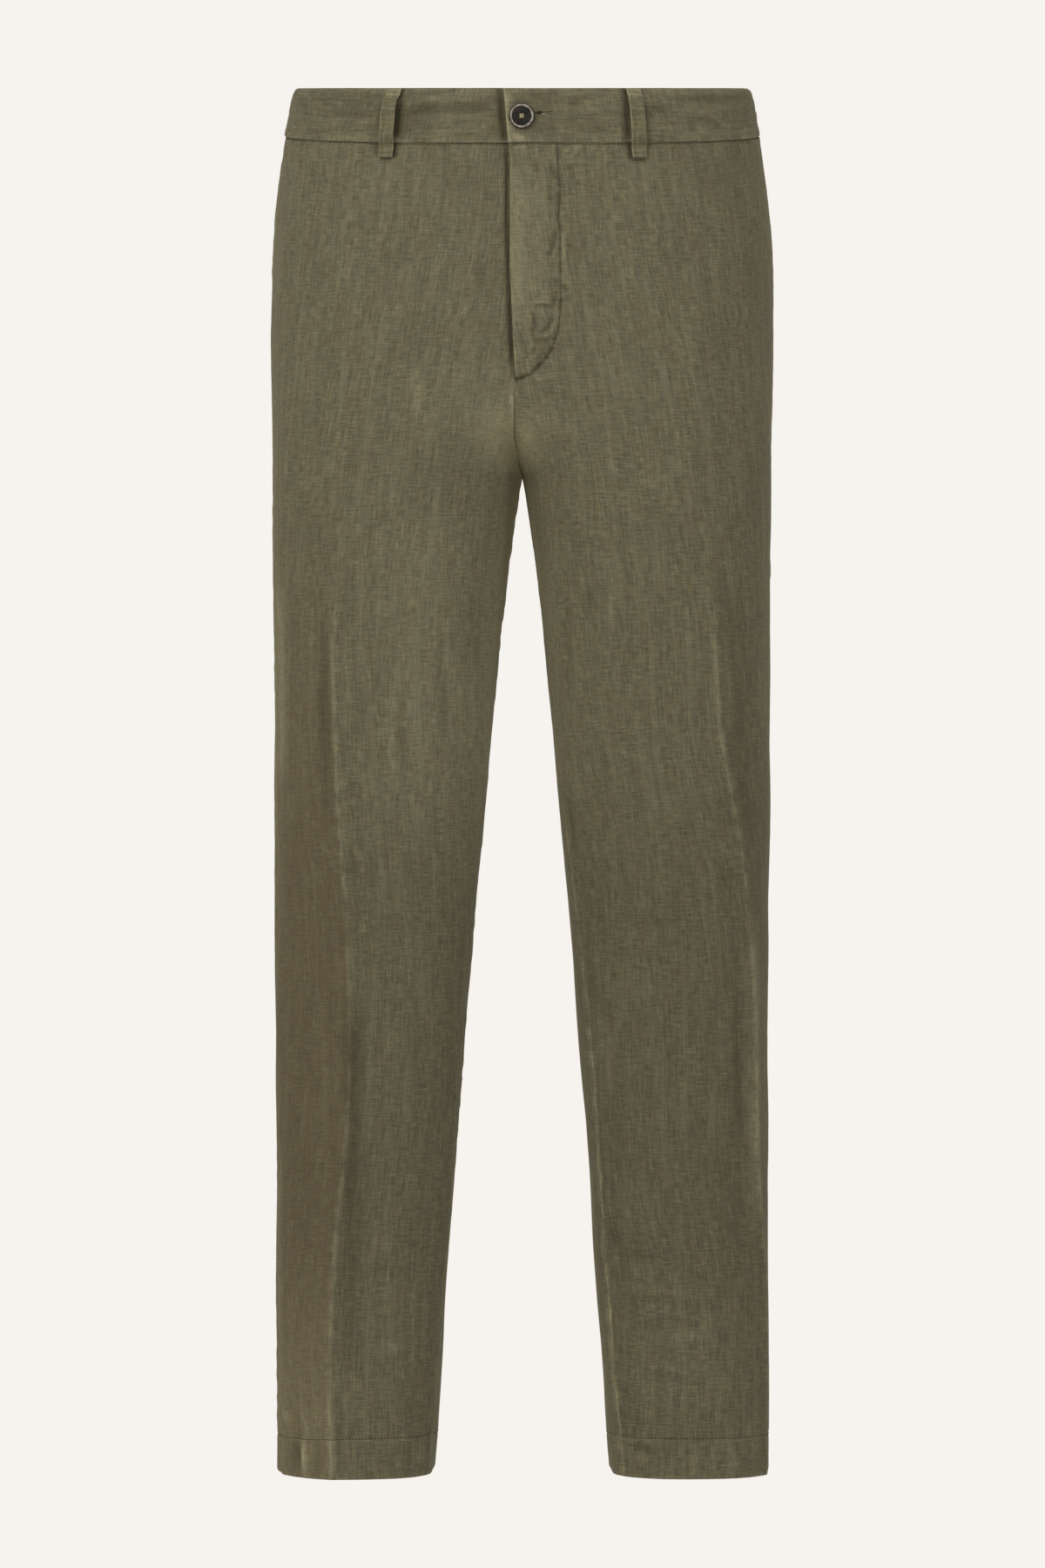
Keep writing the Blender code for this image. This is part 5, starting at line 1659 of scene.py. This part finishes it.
def loop_ring(side, face, path, share, seed):
    """A rounded oblong ring round the loop at a share of its length, and its places in the cut."""
    place, normal = waist_place(side, face, loop_x(path, share), share * LOOP_LENGTH)
    across = np.cross(normal, (0, 0, 1.0))
    leave = smoothstep(0.10, 0.10 + LOOP_RISE, share)
    land = 1 - smoothstep(0.88 - LOOP_RISE, 0.88, share)
    off = LOOP_GAP + LOOP_STAND_OFF * min(leave, land)
    folded = (1 - smoothstep(0.10, 0.15, share)) + smoothstep(0.84, 0.88, share)
    bar = sum(most * np.exp(-((share - at) / 0.014) ** 2) for at, most in zip(LOOP_BARS, (1.0, 0.7)))
    thick = LOOP_THIN + (LOOP_FOLD - LOOP_THIN) * folded - BAR_DIP * bar
    wide = LOOP_WIDTH * (1 + 0.035 * float(cloud(share, seed, 0.22, 1.0, seed)) - 0.03 * bar)
    # both ends close along a quarter circle
    end = min(share, 1 - share) * LOOP_LENGTH
    close = math.sqrt(max(1 - (1 - min(end / (1.3 * MM), 1)) ** 2, 0.004))
    wide *= 0.86 + 0.14 * close
    thick *= close
    twist = 0.35 * MM * float(cloud(share, seed + 3, 0.3, 1.0, seed + 3))
    middle = place + normal * (off + thick / 2)
    ring = (middle + across * (OBLONG_X * wide / 2)[:, None]
            + normal * (OBLONG_Y * thick / 2 + OBLONG_X * twist)[:, None])
    cut = np.column_stack((OBLONG_X * wide / 2 + 0.4 * (OBLONG_Y < -0.3),
                           np.full(LOOP_RING, -share * LOOP_LENGTH)))
    return ring, cut


# %% Make the belt loops
def loop_mesh(name, side, face, path, seed):
    """A belt loop as rounded oblong rings along its path, closed at both folded ends."""
    shares = 0.5 - 0.5 * np.cos(np.linspace(0, math.pi, LOOP_STATIONS))
    rings, uvs = zip(*[loop_ring(side, face, path, share, seed) for share in shares])
    shape = bmesh.new()
    layer = shape.loops.layers.uv.new("cut")
    verts = [[shape.verts.new(point) for point in ring] for ring in rings]
    for i in range(LOOP_STATIONS - 1):
        for j in range(LOOP_RING):
            k = (j + 1) % LOOP_RING
            corners = ((i, j), (i, k), (i + 1, k), (i + 1, j))
            made = shape.faces.new([verts[a][b] for a, b in corners])
            for loop, (a, b) in zip(made.loops, corners):
                loop[layer].uv = uvs[a][b]
    shape.faces.new(verts[0][::-1])
    shape.faces.new(verts[-1])
    bmesh.ops.recalc_face_normals(shape, faces=shape.faces)
    mesh = mesh_from(name, shape)
    edge = np.abs(np.tile(OBLONG_X, LOOP_STATIONS))
    folded_end = np.repeat(1 - smoothstep(0.09, 0.15, shares), LOOP_RING)
    store(mesh, "wear_and_painted_light", 0.5 * smoothstep(0.86, 1.0, edge) + 0.3 * folded_end)
    mesh.shade_smooth()
    return mesh


for k, (name, side, face, path) in enumerate(LOOP_PATHS):
    loop_piece = add_piece(name + "_linen", loop_mesh(name + "_linen", side, face, path, 700 + 9 * k),
                           loop_linen)
    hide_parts(name)

# %% [markdown]
# ## Sewing
#
# A seam is only believed when its stitches show. Each stitch is a short thread that rises out of one
# needle hole and dives into the next. An image of stitches would slide and blur, so every stitch is a
# tiny bent tube. All the stitches of one seam are joined in one mesh. The thread is dyed with the
# garment, so it is nearly the colour of the cloth. The shade in the needle holes is painted: a short
# dark tube lies between the stitches at each hole.

# %% Thread material
def thread_material(name, colour, shadow, roughness):
    """Spun sewing thread: two plies twisted together, which show as fine slanting bands."""
    material, tree = new_material(name)
    place = add_node(tree, "ShaderNodeTexCoord").outputs["Object"]
    plies = add_node(tree, "ShaderNodeTexWave", {
        "Vector": place, "Scale": 900.0, "Distortion": 1.5}, bands_direction='DIAGONAL')
    tone = add_node(tree, "ShaderNodeMix", {0: plies.outputs["Fac"], 6: shadow, 7: colour},
                    data_type='RGBA')
    bump = add_node(tree, "ShaderNodeBump", {
        "Height": plies.outputs["Fac"], "Strength": 0.4, "Distance": 0.05 * MM})
    shader = add_node(tree, "ShaderNodeBsdfPrincipled", {
        "Base Color": tone.outputs[2],
        "Roughness": roughness,
        "IOR": 1.5,
        "Normal": bump.outputs[0],
    })
    add_node(tree, "ShaderNodeOutputMaterial", {"Surface": shader.outputs[0]})
    return material


dyed_thread = thread_material("sewing_thread_dyed_olive", linear("7A755A"), linear("58543F"), 0.7)
pale_thread = thread_material("sewing_thread_undyed_cream", linear("B5AC84"), linear("8C8460"), 0.6)
twist = thread_material("buttonhole_twist_light_olive", linear("8A8461"), linear("69644A"), 0.6)
# painted shade for the needle holes and the buttonhole's slit
painted_hole_shade = thread_material("needle_hole_in_shadow", linear("2E2B20"), linear("242219"), 0.95)


# %% A stitch, and a row of them
THREAD_SIDES = 6
STITCH_STATIONS = 6
STITCH_DIVE = 0.30 * MM  # its ends go this deep into their needle holes
STITCH_RISE = 0.16 * MM


def tube(points, normals, radius):
    """Vertices and faces of a thin closed tube along points. normals say which side is up."""
    count = len(points)
    along = np.gradient(points, axis=0)
    along /= np.linalg.norm(along, axis=1, keepdims=True)
    sideways = np.cross(along, normals)
    sideways /= np.linalg.norm(sideways, axis=1, keepdims=True)
    up = np.cross(sideways, along)
    angle = np.linspace(0, 2 * math.pi, THREAD_SIDES, endpoint=False)
    radii = np.broadcast_to(radius, (count,))
    ring = np.cos(angle)[None, :, None] * sideways[:, None] + np.sin(angle)[None, :, None] * up[:, None]
    verts = (points[:, None] + ring * radii[:, None, None]).reshape(-1, 3)
    faces = []
    for i in range(count - 1):
        for j in range(THREAD_SIDES):
            k = (j + 1) % THREAD_SIDES
            faces.append((i * THREAD_SIDES + j, i * THREAD_SIDES + k,
                          (i + 1) * THREAD_SIDES + k, (i + 1) * THREAD_SIDES + j))
    faces.append(tuple(range(THREAD_SIDES))[::-1])
    faces.append(tuple(range((count - 1) * THREAD_SIDES, count * THREAD_SIDES)))
    return verts, faces


def stitch_row(points, normals, pitch, thread, fill, rise=STITCH_RISE, start=0.0):
    """Stitches along a line of surface points: a list of tubes. fill is the share that shows."""
    steps = np.linalg.norm(np.diff(points, axis=0), axis=1)
    done = np.concatenate(([0.0], np.cumsum(steps)))
    arch = np.sin(np.linspace(0, math.pi, STITCH_STATIONS)) ** 0.5
    height = (STITCH_DIVE + rise) * arch - STITCH_DIVE
    tubes = []
    for k in range(int((done[-1] - start) / pitch)):
        at = start + (k + np.linspace(0.5 - fill / 2, 0.5 + fill / 2, STITCH_STATIONS)) * pitch
        up = resample(at, done, normals)
        tubes.append(tube(resample(at, done, points) + up * height[:, None], up, thread))
    return tubes


def join_tubes(name, tubes, material):
    """One piece from many tubes."""
    verts = []
    faces = []
    for tube_verts, tube_faces in tubes:
        first = len(verts)
        verts.extend(map(tuple, tube_verts))
        faces.extend([tuple(first + i for i in face) for face in tube_faces])
    mesh = bpy.data.meshes.new(name)
    mesh.from_pydata(verts, [], faces)
    mesh.update()
    mesh.shade_smooth()
    piece = add_piece(name, mesh, material)
    return piece


# %% Lines on a panel's surface
def on_grid(grid, level, measure, value):
    """Place and normal on a panel's outer face at a level, where one of its measures has this value."""
    levels = grid["level"][:, 0]
    i = int(np.clip(np.searchsorted(levels, level) - 1, 0, len(levels) - 2))
    share = (level - levels[i]) / (levels[i + 1] - levels[i])
    places = []
    for row in (i, i + 1):
        values = grid[measure][row]
        order = np.argsort(values)
        places.append([[np.interp(value, values[order], grid[key][row][order, c]) for c in range(3)]
                       for key in ("outer", "normal")])
    place, normal = (1 - share) * np.array(places[0]) + share * np.array(places[1])
    return place, normal / np.linalg.norm(normal)


def line_on(grid, spots, measure):
    """A line of places and normals on a panel through (level, value of the measure) spots."""
    places, normals = zip(*[on_grid(grid, level, measure, value) for level, value in spots])
    return np.array(places), np.array(normals)


# %% Sewing a line
PITCH = 2.2 * MM
THREAD_RADIUS = 0.20 * MM
# the needle holes are short dark tubes: painted shade
HOLE_RADIUS = 0.36 * MM
HOLE_FILL = 0.30
HOLE_RISE = 0.03 * MM


def smooth_line(spots, count):
    """A line of many places, in metres, on a smooth curve through a few given in millimetres."""
    spots = np.array(spots, float) * MM
    knots = travel(spots)
    return curve_through(knots, spots, np.linspace(0, knots[-1], count))


threads = {"dyed": [], "pale": [], "holes": []}


def sew(points, normals, pitch=PITCH, fill=0.70, radius=THREAD_RADIUS, thread="dyed"):
    """Adds a row of stitches, and dark tubes between them as painted shade in the needle holes, to the
    garment's sewing.
    """
    threads[thread] += stitch_row(points, normals, pitch, radius, fill)
    threads["holes"] += stitch_row(points, normals, pitch, HOLE_RADIUS, HOLE_FILL, HOLE_RISE, pitch / 2)


def finish_sewing(name):
    """Joins what was sewn since the last call, in one piece for each kind of thread."""
    kinds = {"dyed": ("_stitches", dyed_thread), "pale": ("_pale_stitches", pale_thread),
             "holes": ("_needle_holes", painted_hole_shade)}
    for kind, (ending, material) in kinds.items():
        if threads[kind]:
            join_tubes(name + ending, threads[kind], material)
            print(name, kind, len(threads[kind]))
        threads[kind] = []


# %% Sew the fly
FLY_BAR = [(234.2, -6.4), (238.6, -6.6), (243.4, -6.9)]  # it holds the foot of the fly

fly_panel = panels["front_left"]
sew(*line_on(fly_panel, smooth_line(FLY_STITCHING, 160), "x"))
sew(*line_on(fly_panel, smooth_line(FLY_BAR, 12), "x"), pitch=1.1 * MM, fill=0.9,
    radius=0.55 * MM, thread="pale")
finish_sewing("fly")

# %% Sew the waistband to the panels, and the hems
# The waist's stitches lie in the groove of the seam, so they show only here and there.
WAIST_STITCH_DROP = 1.0 * MM
WAIST_PITCH = 2.4 * MM
HEM_PITCH = 2.5 * MM
HEM_LINE_DROP = 1.7 * MM


def across_panel(grid, level_at):
    """A line right across a panel. level_at gives its level for each distance from the crease."""
    row = int(np.searchsorted(grid["level"][:, 0], level_at(0.0)))
    values = grid["from_crease"][row]
    return [(level_at(v), v) for v in np.linspace(values.min() + 2 * MM, values.max() - 2 * MM, 160)]


def waist_line(_):
    """The waist's stitching keeps its level."""
    return BAND_HEIGHT_SIDE + WAIST_STITCH_DROP


def hem_line(v):
    """The hem's stitching wanders a little about its height."""
    return HEM_TOP + HEM_LINE_DROP * float(cloud(v, 0.0, 48 * MM, 1.0, 31))


for seam, level_at, pitch in (("waist_seam", waist_line, WAIST_PITCH), ("hem", hem_line, HEM_PITCH)):
    for grid in panels.values():
        sew(*line_on(grid, across_panel(grid, level_at), "from_crease"), pitch=pitch, fill=0.6)
    finish_sewing(seam)

# %% Sew down the belt loops
STITCH_SINK = BAR_DIP + 0.02 * MM

for name, side, face, path in LOOP_PATHS:
    for share in LOOP_BARS:
        place, normal = waist_place(side, face, loop_x(path, share), share * LOOP_LENGTH)
        across = np.cross(normal, (0, 0, 1.0))
        spans = np.linspace(-0.42, 0.42, 16) * LOOP_WIDTH
        points = place + normal * (LOOP_GAP + LOOP_FOLD - STITCH_SINK) + across * spans[:, None]
        normals = np.repeat(normal[None], len(spans), axis=0)
        sew(points, normals, pitch=1.35 * MM, fill=0.8, radius=0.26 * MM,
            thread="pale" if share < 0.5 else "dyed")
finish_sewing("belt_loop")

# %% [markdown]
# ## Button and buttonhole
#
# The button is turned from horn: a disc with a raised rim and a dished middle with four holes. Turning
# a profile round its axis is what the lathe does, so it is spun here too, and the holes are drilled
# with a Boolean. The rim is polished and lighter, and the dish is smoky and nearly black. Where the
# real one has raised lettering in the dish, this one is plain. The buttonhole is a slit edged with
# close purl stitches, with a round eye next to the button and a bar at its other end.

# %% Turn and drill the button
BUTTON_STEPS = 120
# radius and height off the button's back, in millimetres
BUTTON_TURNING = [
    (0.0, 0.0), (5.6, 0.0), (7.6, 0.35), (8.9, 0.95), (9.45, 1.5), (9.68, 2.1), (9.66, 2.7),
    (9.40, 3.15), (8.95, 3.38), (8.45, 3.36), (8.0, 3.12), (7.65, 2.75), (7.3, 2.5), (6.8, 2.38),
    (5.6, 2.26), (4.4, 2.18), (3.4, 2.14), (2.6, 2.06), (1.4, 1.98), (0.0, 1.96),
]
DRILL_RADIUS = 0.95 * MM
DRILL_DEPTH = 12 * MM
DRILL_SPACING = 3.3 * MM
button_low, button_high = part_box("waist_button")
button_middle = (button_low + button_high) / 2
button_back = Vector((button_middle.x, button_high.y, button_middle.z))

shape = bmesh.new()
turning = smooth_line(BUTTON_TURNING, 90)
turned = [shape.verts.new((radius, -height, 0.0)) for radius, height in turning]
edges = [shape.edges.new(pair) for pair in zip(turned, turned[1:])]
bmesh.ops.spin(shape, geom=turned + edges, cent=(0, 0, 0), axis=(0, 1, 0), angle=2 * math.pi,
               steps=BUTTON_STEPS)
bmesh.ops.remove_doubles(shape, verts=shape.verts, dist=0.002 * MM)
bmesh.ops.recalc_face_normals(shape, faces=shape.faces)
blank = place_in_scene("button_blank", mesh_from("waist_button_horn", shape))

drills = bmesh.new()
for dx in (-0.5, 0.5):
    for dz in (-0.5, 0.5):
        hole = bmesh.ops.create_cone(drills, cap_ends=True, segments=24, radius1=DRILL_RADIUS,
                                     radius2=DRILL_RADIUS, depth=DRILL_DEPTH)
        bmesh.ops.rotate(drills, verts=hole["verts"], matrix=Matrix.Rotation(math.pi / 2, 3, 'X'))
        place = Vector((dx, 0, dz)) * DRILL_SPACING
        bmesh.ops.translate(drills, verts=hole["verts"], vec=place)
drill = place_in_scene("button_drills", mesh_from("button_drills", drills))
cut = blank.modifiers.new("four_holes", 'BOOLEAN')
cut.operation = 'DIFFERENCE'
cut.object = drill
bpy.context.view_layer.update()
drilled = bpy.data.meshes.new_from_object(blank.evaluated_get(bpy.context.evaluated_depsgraph_get()))
drilled.name = "waist_button_horn"
bpy.data.objects.remove(blank)
bpy.data.objects.remove(drill)
drilled.transform(Matrix.Translation(button_back))
print("button faces:", len(drilled.polygons))


# %% Horn
def horn_material():
    """Polished horn: smoky layers, with a paler rim where the lathe went through to another layer."""
    material, tree = new_material("horn_turned_and_polished")
    place = add_node(tree, "ShaderNodeTexCoord").outputs["Object"]
    layers = add_node(tree, "ShaderNodeTexNoise", {
        "Vector": place, "Scale": 260.0, "Detail": 4.0, "Roughness": 0.6, "Distortion": 1.2})
    tones = []
    for low, dark, high, light in ((0.35, "100F0E", 0.70, "2E2B28"), (0.38, "726A5C", 0.62, "BBB4A3")):
        ramp = add_node(tree, "ShaderNodeValToRGB", {"Fac": layers.outputs[0]})
        for stop, position, colour in zip(ramp.color_ramp.elements, (low, high), (dark, light)):
            stop.position = position
            stop.color = linear(colour)
        tones.append(ramp.outputs[0])
    on_rim = add_node(tree, "ShaderNodeAttribute", attribute_name="rim").outputs["Fac"]
    tone = add_node(tree, "ShaderNodeMix", {
        0: on_rim, 6: tones[0], 7: tones[1]}, data_type='RGBA')
    scratches = add_node(tree, "ShaderNodeTexNoise", {"Vector": place, "Scale": 1400.0, "Detail": 2.0})
    rough = add_node(tree, "ShaderNodeMapRange", {
        "Value": scratches.outputs[0], "To Min": 0.22, "To Max": 0.42})
    bump = add_node(tree, "ShaderNodeBump", {
        "Height": layers.outputs[0], "Strength": 0.25, "Distance": 0.08 * MM})
    shader = add_node(tree, "ShaderNodeBsdfPrincipled", {
        "Base Color": tone.outputs[2],
        "Roughness": rough.outputs[0],
        "IOR": 1.54,
        "Specular IOR Level": 0.14,
        "Normal": bump.outputs[0],
    })
    add_node(tree, "ShaderNodeOutputMaterial", {"Surface": shader.outputs[0]})
    return material


def radius_of(vertex):
    """How far a vertex lies from the button's axis, in millimetres."""
    away = vertex.co - button_back
    return math.hypot(away.x, away.z) / MM


def rim_share(radius):
    """1 on the pale rim, 0 in the dish and on the button's outer edge, which is darkened as painted
    shade.
    """
    return float(between(radius, 7.2, 7.8, 8.6, 9.1))


store(drilled, "rim", [rim_share(radius_of(v)) for v in drilled.vertices])
drilled.shade_smooth()
drilled.set_sharp_from_angle(angle=math.radians(40))
button = add_piece("waist_button_horn", drilled, horn_material())
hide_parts("waist_button")

# %% Thread through the button
THREAD_WRAP = 0.30 * MM
STRAND_STEP = 0.42 * MM
DISH_OUT = 2.05 * MM  # the dish's height off the button's back
WRAP_DIVE = 1.3 * MM  # how deep the thread goes into a hole
HOLE_REACH = DRILL_SPACING / 2 * 0.96


def strand(first, last, shift, rise):
    """One strand over the dish, from hole to hole. shift is where it lies in its bundle."""
    points = []
    for t in np.linspace(0, 1, 15):
        x = HOLE_REACH * (first[0] + (last[0] - first[0]) * t) + shift[0]
        z = HOLE_REACH * (first[1] + (last[1] - first[1]) * t) + shift[1]
        up = float(between(t, 0, 0.14, 0.86, 1))
        points.append(button_back + Vector((x, -DISH_OUT + WRAP_DIVE - (WRAP_DIVE + rise) * up, z)))
    return tube(np.array(points), np.repeat([(0, -1.0, 0)], 15, axis=0), THREAD_WRAP)


strands = []
for way, first, last, rise in ((-1, (-1, -1), (1, 1), 0.35 * MM), (1, (-1, 1), (1, -1), 0.65 * MM)):
    for k in (-1, 0, 1):
        step = STRAND_STEP * k * 0.7
        strands.append(strand(first, last, (step * way, step), rise))
join_tubes("button_thread", strands, pale_thread)

# %% Edge the buttonhole, and lay its slit as painted shade
# x and level in millimetres
HOLE_START = 8.0  # the eye's side
HOLE_END = 23.5  # the far end
HOLE_LEVEL = 17.0
HOLE_DROP = 1.2  # the slit runs slightly uphill towards its far end
EYE_PLACE = 12.9  # the middle of its round eye
EYE_WIDE = 1.7
PURLS = 26
PURL_LENGTH = 1.0
PURL_RADIUS = 0.27 * MM
PURL_ARCH = np.array((0.12, 0.34, 0.40, 0.30, -0.1))[:, None] * MM
BAR_STITCHES = 5
BAR_HALF = 0.9


def tab_place(x, level):
    """Place and normal on the tab's outer face, at an x and level in millimetres."""
    from_end = x * MM - band_start(1, level * MM)
    return on_grid(bands["waistband_left"], level * MM, "from_inner", from_end)


def slit_half(x):
    """Half the width of the opening: a narrow slit with a round eye."""
    return 0.30 + 1.05 * np.exp(-((x - EYE_PLACE) / EYE_WIDE) ** 2)


def slit_level(x):
    """Level of the slit's middle."""
    return HOLE_LEVEL - HOLE_DROP * (x - HOLE_START) / (HOLE_END - HOLE_START)


def tab_line(spots):
    """A line of places and normals on the tab through (x, level) spots."""
    places, normals = zip(*[tab_place(x, level) for x, level in spots])
    return np.array(places), np.array(normals)


edging = []
for x in np.linspace(HOLE_START, HOLE_END, PURLS):
    for way in (-1, 1):
        reaches = np.linspace(slit_half(x), slit_half(x) + PURL_LENGTH, 5)
        points, normals = tab_line([(x, slit_level(x) + way * reach) for reach in reaches])
        edging.append(tube(points + normals * PURL_ARCH, normals, PURL_RADIUS))
for k in range(BAR_STITCHES):
    x = HOLE_END + 0.1 + 0.35 * k
    points, normals = tab_line([(x, slit_level(HOLE_END) + reach)
                                for reach in np.linspace(-BAR_HALF, BAR_HALF, 5)])
    edging.append(tube(points + normals * 0.22 * MM, normals, 0.24 * MM))
join_tubes("buttonhole_purl_stitches", edging, twist)

# the slit and its eye are a dark tube laid on the tab: painted shade of the opening
slit_x = np.linspace(HOLE_START, HOLE_END, 30)
points, normals = tab_line([(x, slit_level(x)) for x in slit_x])
slit_shade = tube(points - normals * 0.02 * MM, normals, (slit_half(slit_x) + 0.1) * MM)
join_tubes("buttonhole_slit_shade", [slit_shade], painted_hole_shade)

points, normals = tab_line([(x, HOLE_LEVEL + 0.4) for x in np.linspace(14.8, 17.0, 5)])
thread_end = tube(points + normals * 0.35 * MM, normals, 0.4 * MM)
join_tubes("buttonhole_thread_end", [thread_end], pale_thread)

# %% [markdown]
# ## What is cloth, and how large it was cut
#
# The library asks for each sheet's flat size, as it lay on the cutting table. What shows here is the
# cloth's outer face, so the sizes are those of the finished panels without their seam allowances.


def flat_size(grid):
    """Width and length of a panel's bounding rectangle when laid flat, and its area."""
    points = grid["outer"]
    across = np.linalg.norm(np.diff(points, axis=1), axis=2)
    down = np.linalg.norm(np.diff(points, axis=0), axis=2)
    width = across.sum(axis=1).max()
    length = down.sum(axis=0).mean()
    area = (0.25 * (across[1:] + across[:-1]) * (down[:, 1:] + down[:, :-1])).sum()
    return width, length, area


# width, length and area of each cut, in metres
for name, grid in {**panels, **bands}.items():
    print(name, "flat width, length, area:", [round(float(v), 4) for v in flat_size(grid)])
